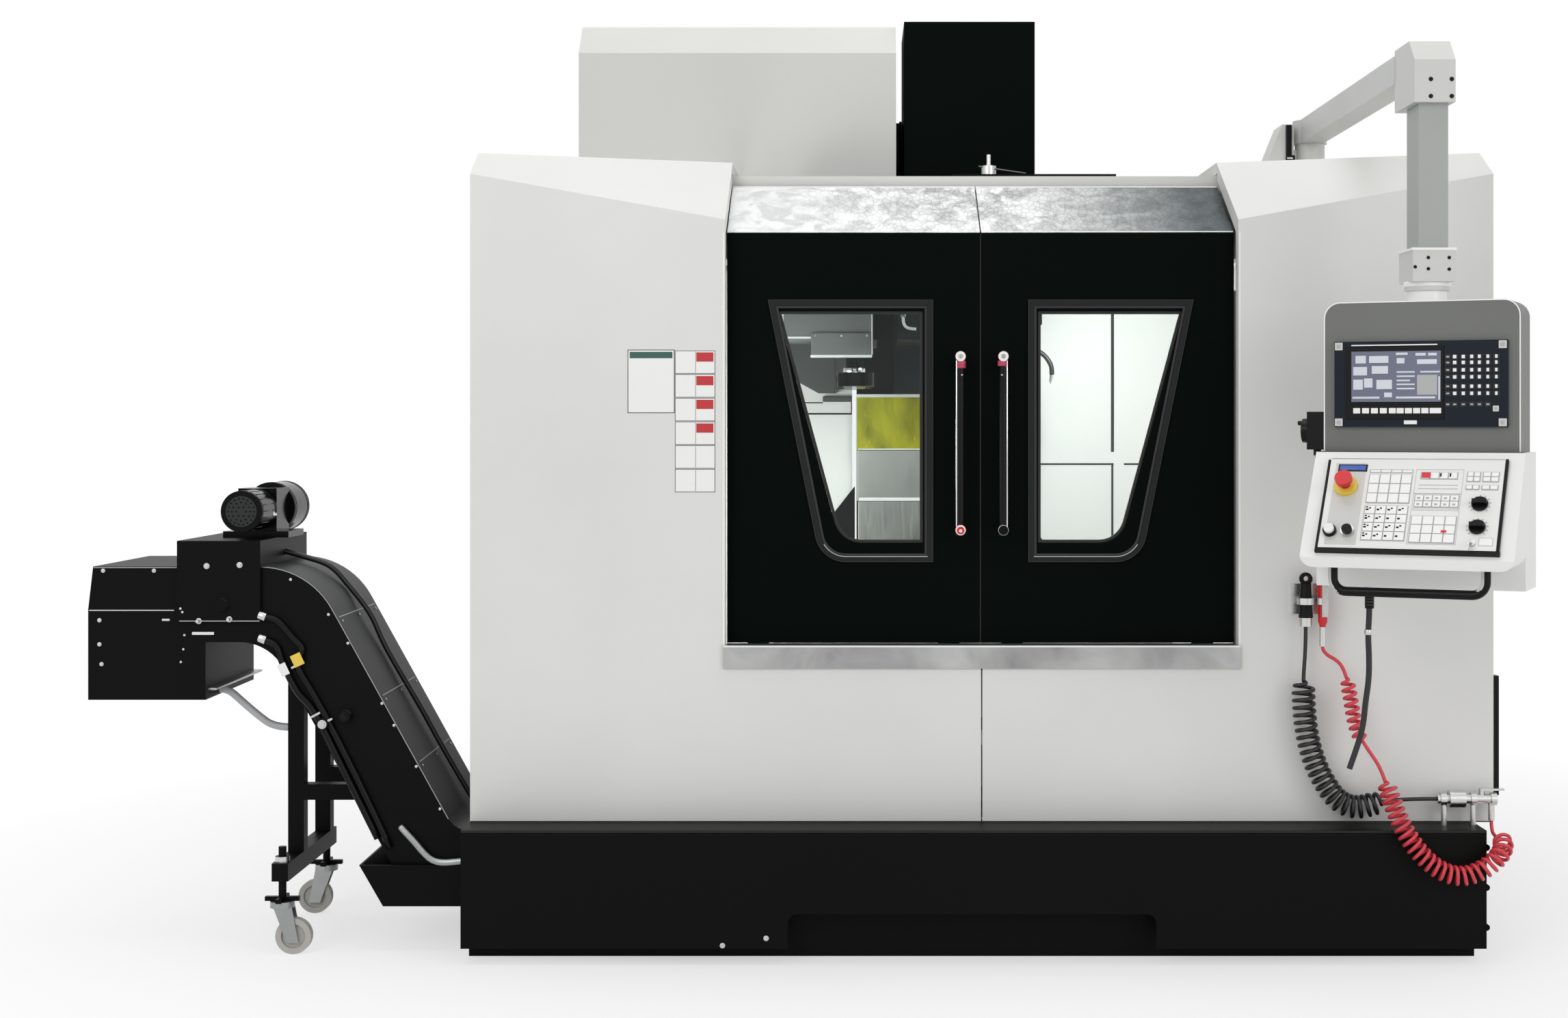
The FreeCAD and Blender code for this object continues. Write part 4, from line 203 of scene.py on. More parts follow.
# The sill's strong clouds of lighter and darker tone stand in for streaks of reflection: painted reflection
# on the steel.
SILL_STEEL = metal("sill_steel", (0.37, 0.375, 0.37), 0.34, 500, 0.3, 5, (0.02, 1, 1))
STEEL = metal("ground_steel", (0.58, 0.58, 0.57), 0.28, 600, 0.08, 9)
DARK_STEEL = metal("dark_steel", (0.10, 0.10, 0.10), 0.42, 300, 0.2, 9)
# A mid grey that paints shade on the boom's drop and highlights along edges of the black conveyor.
GREY_PAINTED_SHADE_AND_HIGHLIGHT = painted("boom_shaded_grey", (0.36, 0.375, 0.36), 0.45, cloud=0.04)
# Painted shade for the left-facing side of the boom's bar.
BAR_PAINTED_SHADE = painted("boom_bar_grey", (0.55, 0.56, 0.55), 0.45)
KEY_GAP = painted("key_field_grey", (0.42, 0.43, 0.43), 0.5, cloud=0.03)
DISPLAY = painted("display_slate", (0.14, 0.155, 0.22), 0.2, cloud=0.12)
TILE = painted("display_tile", (0.66, 0.68, 0.74), 0.25, cloud=0.06)
BLUE = painted("display_blue", (0.02, 0.09, 0.42), 0.25)
# Near black: the column's dark casting, darkened further as painted shade inside the chamber.
COLUMN_DARK_AND_PAINTED_SHADE = painted("column_dark", (0.008, 0.010, 0.010), 0.55, grain=240, depth=0.001,
                      cloud=0.15, sheen=0.12)
CASTING = painted("casting", (0.22, 0.23, 0.23), 0.6, grain=240, depth=0.0012, cloud=0.12, strength=0.5)
RED = painted("red_plastic", (0.62, 0.012, 0.015), 0.3, grain=1500, cloud=0.06)
WHITE_PLASTIC = painted("white_plastic", (0.80, 0.80, 0.79), 0.35, grain=1500, cloud=0.02)
RUBBER = painted("hose_black", (0.010, 0.010, 0.011), 0.38, grain=1600, cloud=0.12)
RED_HOSE = painted("hose_red", (0.62, 0.045, 0.065), 0.26, grain=1600, cloud=0.08)
GREY_HOSE = painted("hose_grey", (0.48, 0.49, 0.50), 0.28, grain=1200, cloud=0.1)
TYRE = painted("castor_rim", (0.46, 0.45, 0.42), 0.6, grain=1400, cloud=0.08)
BELT = metal("belt_steel", (0.22, 0.22, 0.22), 0.42, 200, 0.25, 12)
GLASS = glazing("pane", (0.93, 0.96, 0.95))
# Near black: partly the spindle head's dark casting, partly painted shade inside the chamber.
HEAD_DARK_AND_PAINTED_SHADE = painted("head_dark", (0.006, 0.010, 0.011), 0.4, cloud=0.1, sheen=0.15)
POT_GREY = painted("pot_housing_grey", (0.06, 0.065, 0.065), 0.4, cloud=0.08)
SEAM = painted("seam_grey", (0.045, 0.05, 0.05), 0.7, cloud=0.1, sheen=0.1)
# White for keys, cards, caps and rings; the same white also paints highlights along lit edges, rims and
# folds.
WHITE_AND_PAINTED_HIGHLIGHT = painted("bright_white", (0.86, 0.86, 0.85), 0.3, cloud=0.01)
CHROME = metal("chrome", (0.78, 0.78, 0.77), 0.16, 900, 0.05, 9)
CARD_RED = painted("card_red", (0.50, 0.03, 0.035), 0.4)
CARD_GREEN = painted("card_green", (0.03, 0.10, 0.08), 0.4)
PINK = painted("collar_pink", (0.46, 0.045, 0.10), 0.3, cloud=0.08)
YELLOW = painted("key_yellow", (0.78, 0.56, 0.08), 0.35, cloud=0.04)
WAY_COVER = metal("way_cover", (0.52, 0.52, 0.49), 0.36, 500, 0.08, 3, (1, 1, 0.03))


def slanted_top():
    """Bright sheet steel, crazed and mottled, plainer at its left end, and darkened towards its right end
    by a painted reflection.
    """
    look = Look("mottled_stainless")
    east = look.add("ShaderNodeSeparateXYZ", "X", {"Vector": look.spot()})
    # painted reflection: the colour turns from bright to dark towards the right end
    darker = look.spread(east, 0, 1, 0.08, 0.62)
    rougher = look.spread(east, 0, 1, -0.62, -0.30)
    crackle = look.add("ShaderNodeTexVoronoi", "Distance",
                       {"Scale": 55, "Vector": look.place((1, 0.6, 0.6))}, feature="DISTANCE_TO_EDGE")
    lines = look.spread(crackle, 0, 1, 0.0, 0.12)
    clouds = look.spread(look.noise(14, 6, distortion=0.8), 0, 1)
    patches = look.mix(rougher, 0.3, clouds, data_type="FLOAT")
    bright = look.mix(patches, (0.60, 0.62, 0.61), (0.82, 0.83, 0.82))
    shaded = look.mix(clouds, (0.045, 0.057, 0.062), (0.105, 0.125, 0.13))
    cracks = look.mix(lines, (0.72, 0.73, 0.73), (1, 1, 1))
    crazed = look.mix(rougher, look.mix(darker, bright, shaded), cracks, blend_type="MULTIPLY")
    return look.dress({"Metallic": 0.9, "Base Color": crazed, "Roughness": look.spread(clouds, 0.26, 0.46),
                       "Normal": look.relief(lines, 0.25, 0.0006)})


def filmed():
    """Sheet steel under a yellow protective film, wrinkled and patchy."""
    look = Look("yellow_film")
    patches = look.spread(look.noise(9, 5, (1, 1, 0.5), 0.8), 0, 1, 0.38, 0.62)
    wrinkle = look.noise(30, 4, (1, 1, 0.4), 1.2)
    return look.dress({
        "Metallic": 0.25, "Base Color": look.mix(patches, (0.17, 0.168, 0.005), (0.43, 0.42, 0.007)),
        "Roughness": look.spread(wrinkle, 0.12, 0.3), "Normal": look.relief(wrinkle, 0.5, 0.002)})


MOTTLED_AND_PAINTED_REFLECTION = slanted_top()
FILM = filmed()

for finish, labels in (
        (COVER, "side_cover_left side_cover_right roof_beam electrical_cabinet cabinet_door"),
        (LINER, "cabin_liner"), (DOOR, "door_left door_right head_cover"),
        (GLASS, "window_left window_right"), (SILL_STEEL, "door_sill"),
        (BLACK, "base_skirt conveyor_trough conveyor_frame"), (CASTING, "machine_bed saddle"),
        (COLUMN_DARK_AND_PAINTED_SHADE, "column"), (HEAD_DARK_AND_PAINTED_SHADE, "spindle_head"),
        (FILM, "way_shield_upper"), (WAY_COVER, "way_shield_middle way_shield_lower"),
        (STEEL, "levelling_feet table spindle magazine_disc air_gun_lever gun_holder air_manifold"),
        (STEEL, "valve_lever drive_shaft"), (PALE_AND_PAINTED_LIGHT, "magazine_cover arm_base boom_arm"),
        (GREY_PAINT, "tool_changer"), (GLOSS_BLACK, "tool_change_arm gear_motor"),
        (CASE_GREY, "pendant_case"), (SCREEN_CASE, "screen_unit"),
        (WHITE_PLASTIC, "pendant_console start_button"), (PANEL, "operator_panel"),
        (BLACK_PLASTIC, "handle_left handle_right handwheel hold_button feed_knob speed_knob wash_gun"),
        (RED, "emergency_stop air_gun"), (BELT, "conveyor_belt"),
        (STAINLESS, "caster_fork_front caster_fork_rear"),
        (TYRE, "caster_wheel_front caster_wheel_rear")):
    for label in labels.split():
        mesh = NODES[label].data
        mesh.materials.clear()
        mesh.materials.append(finish)


# -------------------- shapes

def linked(label, data):
    """A new object in the scene."""
    piece = bpy.data.objects.new(label, data)
    bpy.context.scene.collection.objects.link(piece)
    return piece


class Kit:
    """Shapes gathered by finish into one piece for each finish, riding on one body.

    A point is a tuple in millimetres, which `place` turns into metres, or a Vector in metres.
    """

    def __init__(self, label, body, place=at, frame=None):
        self.label = label
        self.body = body
        self.place = place
        self.frame = frame or Matrix.Identity(4)
        self.parts = {}

    def point(self, spot):
        return self.place(*spot) if isinstance(spot, tuple) else spot

    def slab(self, finish, low, high, bevel, turn=None):
        """A block between two corners, its edges broken."""
        body = bmesh.new()
        bmesh.ops.create_cube(body, size=1)
        low, high = self.point(low), self.point(high)
        size = high - low
        bmesh.ops.scale(body, vec=size, verts=body.verts)
        if bevel:
            bmesh.ops.bevel(body, geom=body.edges[:], offset=min(bevel, min(size) * 0.4),
                            segments=2, affect="EDGES", profile=0.5)
        if turn is not None:
            bmesh.ops.transform(body, matrix=turn.to_4x4(), verts=body.verts)
        bmesh.ops.translate(body, vec=(low + high) / 2, verts=body.verts)
        self.take(body, finish)

    def drum(self, finish, start, end, radius, bevel=0.0008, sides=28, far_radius=None,
             smooth=True):
        """A round bar or disc between two points, its rims broken."""
        start, end = self.point(start), self.point(end)
        span = end - start
        body = bmesh.new()
        bmesh.ops.create_cone(body, cap_ends=True, segments=sides, radius1=radius,
                              radius2=radius if far_radius is None else far_radius,
                              depth=span.length)
        if bevel:
            rims = [edge for edge in body.edges
                    if any(len(face.verts) > 4 for face in edge.link_faces)]
            bmesh.ops.bevel(body, geom=rims, offset=min(bevel, span.length * 0.4, radius * 0.4),
                            segments=2, affect="EDGES", profile=0.5)
        if smooth:
            for face in body.faces:
                face.smooth = len(face.verts) <= 4
        turn = span.to_track_quat("Z", "Y").to_matrix().to_4x4()
        bmesh.ops.transform(body, matrix=Matrix.Translation((start + end) / 2) @ turn,
                            verts=body.verts)
        self.take(body, finish)

    def bolt(self, finish, spot, radius, height, way=(0, -1, 0)):
        """A hexagon head on a washer."""
        spot, way = self.point(spot), Vector(way).normalized()
        self.drum(finish, spot, spot + way * height * 0.25, radius * 1.5, 0.0003, 20)
        self.drum(finish, spot, spot + way * height, radius, 0.0004, 6, smooth=False)

    def dome(self, finish, spot, radius, height, way=(0, -1, 0)):
        """A round screw head."""
        spot, way = self.point(spot), Vector(way).normalized()
        self.drum(finish, spot, spot + way * height * 0.5, radius, 0.0003, 20)
        self.drum(finish, spot + way * height * 0.5, spot + way * height, radius, 0.0006, 20,
                  far_radius=radius * 0.7)

    def sheet(self, finish, outline, low, high):
        """A flat outline in X and Z, made thick along the depth."""
        body = bmesh.new()
        face = body.faces.new([body.verts.new((x, low, z)) for x, z in outline])
        raised = bmesh.ops.extrude_face_region(body, geom=[face])["geom"]
        bmesh.ops.translate(body, vec=(0, high - low, 0),
                            verts=[item for item in raised if isinstance(item, bmesh.types.BMVert)])
        bmesh.ops.recalc_face_normals(body, faces=body.faces)
        bmesh.ops.bevel(body, geom=body.edges[:], offset=0.0008, segments=1, affect="EDGES")
        self.take(body, finish)

    def band(self, finish, line, half, low, high, closed=True):
        """A strip of one width that follows an outline in X and Z, thick along the depth."""
        body = bmesh.new()
        line = [Vector(point) for point in line]
        count = len(line)
        inner, outer = [], []
        for number, here in enumerate(line):
            before = line[number - 1] if closed or number else here
            after = line[(number + 1) % count] if closed or number < count - 1 else here
            first = (here - before if here != before else after - here).normalized()
            second = (after - here).normalized() if after != here else first
            aside = Vector((-(first + second).y, (first + second).x)).normalized()
            stretch = half / max(0.35, math.sqrt((1 + first.dot(second)) / 2))
            inner.append(here + aside * stretch)
            outer.append(here - aside * stretch)
        rows = [[body.verts.new((spot.x, y, spot.y)) for spot in edge]
                for edge, y in ((inner, low), (outer, low), (outer, high), (inner, high))]
        for number in range(count if closed else count - 1):
            following = (number + 1) % count
            for side in range(4):
                body.faces.new((rows[side][number], rows[(side + 1) % 4][number],
                                rows[(side + 1) % 4][following], rows[side][following]))
        bmesh.ops.recalc_face_normals(body, faces=body.faces)
        self.take(body, finish)

    def pipe(self, finish, points, radius):
        """A round bar that follows a smooth line through given points."""
        body = bmesh.new()
        spots = smooth_line([self.point(point) for point in points])
        rings = []
        side = None
        sides = 14
        angles = [math.tau * turn / sides for turn in range(sides)]
        for number, spot in enumerate(spots):
            ahead = spots[min(number + 1, len(spots) - 1)] - spots[max(number - 1, 0)]
            ahead.normalize()
            if side is None:
                side = ahead.orthogonal().normalized()
            side = (side - ahead * side.dot(ahead)).normalized()
            other = ahead.cross(side)
            rings.append([body.verts.new(spot + (side * math.cos(angle) + other * math.sin(angle)) * radius)
                          for angle in angles])
        for first, second in zip(rings, rings[1:]):
            for turn in range(sides):
                face = body.faces.new((first[turn], first[(turn + 1) % sides],
                                       second[(turn + 1) % sides], second[turn]))
                face.smooth = True
        body.faces.new(rings[0])
        body.faces.new(rings[-1])
        bmesh.ops.recalc_face_normals(body, faces=body.faces)
        self.take(body, finish)

    def take(self, body, finish):
        """Add a shape to the piece of its finish."""
        carried = bpy.data.meshes.new("carried")
        body.to_mesh(carried)
        body.free()
        if finish.name not in self.parts:
            self.parts[finish.name] = (finish, bmesh.new())
        self.parts[finish.name][1].from_mesh(carried)
        bpy.data.meshes.remove(carried)

    def done(self):
        """Make the pieces, one for each finish."""
        for name, (finish, body) in self.parts.items():
            label = f"{self.label}_{name}"
            mesh = bpy.data.meshes.new(label)
            bmesh.ops.transform(body, matrix=self.frame, verts=body.verts)
            body.to_mesh(mesh)
            body.free()
            mesh.materials.append(finish)
            piece = linked(label, mesh)
            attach(piece, self.body)


def smooth_line(points):
    """A rounded line through points: a Catmull-Rom curve, divided evenly between them."""
    ends = [points[0] * 2 - points[1], *points, points[-1] * 2 - points[-2]]
    share = 6
    line = []
    for number in range(1, len(ends) - 2):
        a, b, c, d = ends[number - 1:number + 3]
        for step in range(share):
            t = step / share
            line.append(0.5 * (2 * b + (c - a) * t + (2 * a - 5 * b + 4 * c - d) * t * t
                               + (3 * b - a - 3 * c + d) * t * t * t))
    line.append(points[-1])
    return line


def paint(label, finish, test):
    """Give another finish to the faces of a CAD node whose middle and normal pass a test."""
    mesh = NODES[label].data
    place = len(mesh.materials)
    mesh.materials.append(finish)
    for face in mesh.polygons:
        if test(face.center, face.normal):
            face.material_index = place


# -------------------- zones of the CAD parts

TOPS = 2.031    # the doors' slanted tops lie above it
for label in ("door_left", "door_right"):
    paint(label, MOTTLED_AND_PAINTED_REFLECTION, lambda middle, normal: middle.z > TOPS and normal.y < -0.05)
    paint(label, RIM, lambda middle, normal: middle.y < -1.1405 and middle.z < TOPS)
paint("roof_beam", BLACK, lambda middle, normal: middle.z > 2.2252)
paint("roof_beam", STEEL, lambda middle, normal: middle.z > 2.2335)
paint("tool_changer", POT_GREY, lambda middle, normal: middle.z < 1.7499 and middle.x < -0.42)
paint("way_shield_upper", WAY_COVER, lambda middle, normal: abs(normal.y) < 0.5 or middle.z > 1.58)

# The frames of the pendant at rest, and of its desk's plate
PENDANT = Matrix.Translation((1.141, -1.62, 0)) @ Matrix.Rotation(math.radians(-25), 4, "Z")
DESK = PENDANT @ Matrix.Translation((0, -0.206, 1.2825)) @ Matrix.Rotation(-math.atan2(188, 265), 4, "X")


def paint_in(placed, label, finish, test):
    """Paint with a test on the face's middle in a frame of its own."""
    back = placed.inverted()
    paint(label, finish, lambda middle, normal: test(back @ middle))


paint_in(PENDANT, "pendant_console", BLACK_PLASTIC,
         lambda spot: spot.z < 1.1249 and abs(spot.y + 0.25) < 0.0135 and abs(spot.x) < 0.206)
paint_in(PENDANT, "pendant_case", BLACK_PLASTIC, lambda spot: spot.x < -0.2502)
for finish, u, v, reach in ((YELLOW, -171, 48, 31), (BLACK_PLASTIC, -195, -89, 17.5),
                            (STEEL, -150, -89, 17.5), (STEEL, 160, -118, 10)):
    paint_in(DESK, "operator_panel", finish, lambda spot: spot.y < -0.0082 and (
        math.hypot(spot.x - u / 1000, spot.z - v / 1000) < reach / 1000))
# painted shade on the boom's drop
paint("boom_arm", GREY_PAINTED_SHADE_AND_HIGHLIGHT, lambda middle, normal: 1.94 < middle.z < 2.318 and middle.y < -1.5)
# painted shade on the left-facing side of the boom's bar
paint("boom_arm", BAR_PAINTED_SHADE, lambda middle, normal: normal.x < -0.5 and middle.y > -1.49 and middle.z > 2.38)
# painted highlight: the top of the grey case in white
paint("pendant_case", WHITE_AND_PAINTED_HIGHLIGHT, lambda middle, normal: middle.z > 1.806)
# painted shade: the white console's left-facing faces in pale grey
paint("pendant_console", PALE_AND_PAINTED_LIGHT, lambda middle, normal: normal.x < -0.6)
paint("wash_gun", STEEL, lambda middle, normal: middle.z < 0.9475)
paint("air_gun", STEEL, lambda middle, normal: middle.z > 1.0585 or middle.z < 0.922)
paint("drive_shaft", BLACK, lambda middle, normal: middle.y < -1.17)
# painted highlight: the trough's upward faces east of the chute in charcoal, lighter than its black
paint("conveyor_trough", CHARCOAL, lambda middle, normal: normal.z > 0.25 and middle.x > -2.03)
paint("conveyor_frame", STEEL,
      lambda middle, normal: 0.257 < middle.z < 0.273 and abs(middle.x + 1.965) < 0.02)


# -------------------- doors and windows

def pane_line(side, high, low, inner, outer, lean, radius, grow):
    """Outline of a window in X and Z, in metres: its outer side leans and its lower corner is round."""
    high, low, inner, radius = high + grow, low - grow, inner - grow, radius + grow
    outer = outer + grow * (math.sqrt(1 + lean * lean) + lean)
    corner = Vector((outer - lean * (high - low), low))
    up = Vector((lean, 1)).normalized()
    half = math.acos(-up.x) / 2
    middle = corner + (up + Vector((-1, 0))).normalized() * radius / math.sin(half)
    first = corner + Vector((-1, 0)) * radius / math.tan(half) - middle
    sweep = math.pi - 2 * half
    line = [(inner, low)]
    for step in range(13):
        turned = Matrix.Rotation(sweep * step / 12, 2) @ first
        line.append(tuple(middle + turned))
    line += [(outer, high), (inner, high)]
    return [(side * x / 1000, z / 1000) for x, z in line]


def depth(value):
    return FRONT + value / 1000


LEAN = math.atan2(162, 292)    # of the doors' slanted tops


def on_top(reach):
    """A point of the slanted tops between the doors, at a distance from the fold, in millimetres."""
    return at(0, 60 + math.cos(LEAN) * reach, 2030 + math.sin(LEAN) * reach)


for side, body in ((-1, "door_left"), (1, "door_right")):
    kit = Kit(f"trim_{body}", body)

    def glass_line(grow):
        return pane_line(side, 1808, 1150, 163, 576, 0.27, 80, grow)

    def frame_line(grow):
        return pane_line(side, 1839, 1097, 135, 602, 0.2, 88, grow)

    kit.band(RUBBER, glass_line(-4.5), 0.0042, depth(74), depth(81.8))
    kit.band(RUBBER, frame_line(-20), 0.0035, depth(56.5), depth(60.4))
    # painted reflection: a thin strip in the stainless finish along the frame's inner edge at the bottom
    # and round its lower corner
    kit.band(STAINLESS, frame_line(-15.2)[:11], 0.0012, depth(51.3), depth(53), closed=False)
    kit.band(CHARCOAL, frame_line(-0.6), 0.0012, depth(51.2), depth(52.6))
    # slanted top: a painted highlight along the fold, and a bright strip under the beam
    west, east = sorted((side * 0.004, side * 0.716))
    for reach, wide in ((6, 0.005), (328, 0.006)):
        middle = on_top(reach) + Vector((0, -0.0004 * math.sin(LEAN), 0.0004))
        kit.slab(WHITE_AND_PAINTED_HIGHLIGHT, middle + Vector((west, -wide / 2, -0.0006)),
                 middle + Vector((east, wide / 2, 0.0006)), 0.0003, Matrix.Rotation(LEAN, 3, "X"))
    if side < 0:
        kit.slab(RUBBER, (-2.2, 66, 869), (1.7, 88, 2024), 0)
        kit.slab(RUBBER, on_top(165) + mm(-2.2, -150, -8), on_top(165) + mm(1.7, 150, -3),
                 0, Matrix.Rotation(LEAN, 3, "X"))
    # the handle: a chrome strip along its outer edge, a painted highlight on the glossy black bar, and ends
    # with collars and screws
    bar = side * 60

    def cap(finish, near, far, z, radius):
        kit.drum(finish, (bar, near, z), (bar, far, z), radius)

    kit.drum(CHROME, (bar + side * 10.3, -2, 1199), (bar + side * 10.3, -2, 1676), 0.0032, sides=16)
    cap(PINK, -2, -13.6, 1677, 0.0148)
    cap(WHITE_AND_PAINTED_HIGHLIGHT, -13.4, -15.4, 1677, 0.0142)
    kit.dome(STAINLESS, (bar, -15.3, 1678), 0.0065, 0.002, way=(0, -1, 0.2))
    kit.drum(PINK, (bar - side * 2, -1, 1665), (bar - side * 2, -1, 1644 if side < 0 else 1650), 0.0134)
    kit.dome(STAINLESS, (bar - side * 4, -10.5, 1625), 0.0028, 0.001)
    if side < 0:
        cap(PINK, -2, -13.8, 1190, 0.0150)
        cap(WHITE_AND_PAINTED_HIGHLIGHT, -13.7, -14.6, 1190, 0.0142)
        cap(RED, -14.5, -15.6, 1189, 0.0108)
        kit.dome(WHITE_AND_PAINTED_HIGHLIGHT, (bar, -15.5, 1188), 0.0048, 0.002)
    else:
        cap(STEEL, -2, -14.2, 1190, 0.0146)
        cap(GLOSS_BLACK, -14.1, -15.6, 1190, 0.0136)
        kit.slab(BLACK_PLASTIC, (151, 90.4, 1770), (177, 100, 1821), 0.002)
    kit.done()

# -------------------- covers, sill and base

kit = Kit("front_trim", "machine")
kit.slab(WHITE_AND_PAINTED_HIGHLIGHT, (-725, -8.8, 861.5), (725, -7.6, 866.3), 0.0004)
# painted highlights: white lines up the covers' edges beside the doors
for west, east in ((-727, -722), (722, 727)):
    kit.slab(WHITE_AND_PAINTED_HIGHLIGHT, (west, -0.9, 868), (east, 0.5, 2026), 0.0004)
kit.slab(CHARCOAL, (-1439, -130.7, 364.5), (1379, -129.4, 368.6), 0.0004)
kit.slab(SEAM, (-1435, -0.8, 370.4), (1435, 0.4, 373.4), 0.0003)
for x, z in ((-720, 54), (-600, 74)):
    kit.bolt(STEEL, (x, -130, z), 0.005, 0.003)
kit.slab(BLACK_PLASTIC, (1435.6, -0.4, 445), (1452, 30, 781), 0.002)
# instruction cards without any words
kit.slab(SEAM, (-994, -0.7, 1518), (-862, 0.4, 1696), 0.0002)
kit.slab(WHITE_AND_PAINTED_HIGHLIGHT, (-992, -1.1, 1520), (-864, -0.5, 1694), 0.0002)
kit.slab(CARD_GREEN, (-988, -1.5, 1672), (-868, -1.0, 1690), 0.0002)
for number in range(6):
    low = 1296 + number * 66.5
    kit.slab(SEAM, (-861, -0.7, low), (-748, 0.4, low + 65), 0.0002)
    kit.slab(WHITE_AND_PAINTED_HIGHLIGHT, (-859.5, -1.1, low + 1.5), (-749.5, -0.5, low + 63.5), 0.0002)
    if number > 1:
        kit.slab(CARD_RED, (-801, -1.5, low + 34), (-753, -1.0, low + 60), 0.0002)
    kit.slab(SEAM, (-803.5, -1.4, low + 3), (-802.5, -1.0, low + 62), 0)
# a slim rod from the valve on the roof plate
kit.drum(DARK_STEEL, (13, 400, 2257), (155, 402, 2236), 0.0026, sides=12)
kit.done()

# -------------------- inside the work chamber

kit = Kit("chamber_trim", "machine")
WALL = 1184.9    # depth of the chamber's rear wall
for x0, x1, z0, z1 in ((-531, -366, 1518, 1524), (-540, -463, 1556, 1560), (-369, -366, 1524, 1562),
                       (500, 510, 1394, 1868), (501, 508, 1101, 1350), (246, 509, 1350, 1356),
                       (543, 700, 1350, 1356)):
    kit.slab(SEAM, (x0, WALL - 1.6, z0), (x1, WALL, z1), 0.0004)
kit.slab(DARK_STEEL, (-463, 1150, 1561), (-366, 1182, 1579), 0.002)
for outline in ([(-0.356, 1.280), (-0.356, 1.062), (-0.526, 1.062)],
                [(0.236, 1.140), (0.236, 1.062), (0.304, 1.062)]):
    kit.sheet(BLACK, outline, depth(1176), depth(1183.4))
# lower front plate of the cam box, with a pale lip
kit.slab(GREY_PAINT, (-491, 612, 1700), (-305, 620, 1768), 0.002)
kit.slab(WHITE_AND_PAINTED_HIGHLIGHT, (-493, 609, 1692), (-303, 620, 1701), 0.002)
kit.slab(WHITE_AND_PAINTED_HIGHLIGHT, (-305, 611, 1701), (-301, 620, 1850), 0.001)
kit.slab(WHITE_AND_PAINTED_HIGHLIGHT, (-574, 618, 1751), (-492, 620.4, 1757), 0.0006)
for x in (-478, -396, -318):
    kit.dome(STEEL, (x, 612, 1760), 0.004, 0.003)
kit.done()

kit = Kit("arm_trim", "changer_arm")
kit.drum(CHROME, (-357, 700, 1648), (-357, 700, 1662), 0.036, sides=40)
kit.drum(CHROME, (-357, 700, 1706), (-357, 700, 1718), 0.034, sides=40)
for end in (-1, 1):
    kit.slab(CHROME, (-399, 700 + end * 262 - 26, 1606), (-390, 700 + end * 262 + 26, 1634), 0.003)
    kit.bolt(STEEL, (-357, 700 + end * 200, 1640), 0.010, 0.007, way=(0, 0, 1))
kit.done()

kit = Kit("head_trim", "head")
kit.pipe(PALE_AND_PAINTED_LIGHT, [(-209, 521, 1900), (-209, 521, 1830), (-208, 521, 1796), (-196, 521, 1780),
                (-170, 521, 1776)], 0.0045)
for z in (1890, 1812):
    kit.slab(STEEL, (-217, 514, z), (-201, 530.2, z + 10), 0.001)
kit.pipe(RUBBER, [(100, 640, 1752), (138, 644, 1741), (172, 648, 1733), (204, 650, 1718),
                  (234, 650, 1697), (252, 650, 1668), (255, 650, 1640)], 0.0075)
kit.drum(STEEL, (104, 639, 1750), (118, 641, 1746), 0.011)
kit.drum(CHROME, (255, 650, 1643), (248, 650, 1612), 0.0055, far_radius=0.0035)
# painted highlights: pale and white strips along the left, top and bottom edges of the upper way shield
kit.slab(PALE_AND_PAINTED_LIGHT, (-352, 1148.8, 1401), (-349, 1150.3, 1585), 0.0005)
kit.slab(WHITE_AND_PAINTED_HIGHLIGHT, (-352, 1148.6, 1576), (232, 1150.3, 1586), 0.0006)
kit.slab(WHITE_AND_PAINTED_HIGHLIGHT, (-345, 1148.8, 1401.5), (231, 1150.3, 1405), 0.0005)
kit.done()
for body, low, high, half, near in (("shield_middle", 1231, 1412, 288.6, 1153.3),
                                    ("shield_lower", 1061, 1242, 285.3, 1156.6)):
    kit = Kit(f"trim_{body}", body)
    west, east = -60 - half, -60 + half
    # painted highlights: a pale strip up the left edge and a white strip along the foot of the shield
    kit.slab(PALE_AND_PAINTED_LIGHT, (west, near - 0.16, low), (west + 3, near + 0.3, high - 14), 0)
    kit.slab(WHITE_AND_PAINTED_HIGHLIGHT, (west + 6, near - 0.2, low + 0.5), (east, near + 0.3, low + 11), 0)
    kit.slab(SEAM, (west, near - 0.12, high - 13), (east, near + 0.3, high - 11.4), 0)
    for x0, x1 in ((-330, -205), (-190, 60), (75, 200)):
        kit.band(WAY_COVER, [(x0 / 1000, low / 1000 + 0.03), (x1 / 1000, low / 1000 + 0.03),
                             (x1 / 1000, high / 1000 - 0.035), (x0 / 1000, high / 1000 - 0.035)],
                 0.0018, depth(near - 0.1), depth(near + 0.2))
    kit.done()

# -------------------- pendant and its arm

kit = Kit("boom_trim", "boom")
for x in (1130, 1184):
    for z in (2378, 2334):
        kit.dome(BLACK_PLASTIC, (x, -500, z), 0.0058, 0.002)
for x, z in ((1092, 1894), (1126, 1918), (1126, 1889), (1180, 1918), (1180, 1888)):
    kit.dome(BLACK_PLASTIC, (x, -490, z), 0.0046, 0.002)
kit.slab(WHITE_AND_PAINTED_HIGHLIGHT, (1083, -493, 1937), (1200, -343, 1944), 0.002)
kit.drum(WHITE_AND_PAINTED_HIGHLIGHT, (1141, -420, 1846), (1141, -420, 1859), 0.061, 0.003, 48)
kit.drum(PALE_AND_PAINTED_LIGHT, (1141, -420, 1835.5), (1141, -420, 1846), 0.054, 0.002, 48)
kit.done()
kit = Kit("arm_base_trim", "machine")
kit.slab(BLACK_PLASTIC, (1031, 905, 2352), (1050, 915.5, 2450), 0.003)
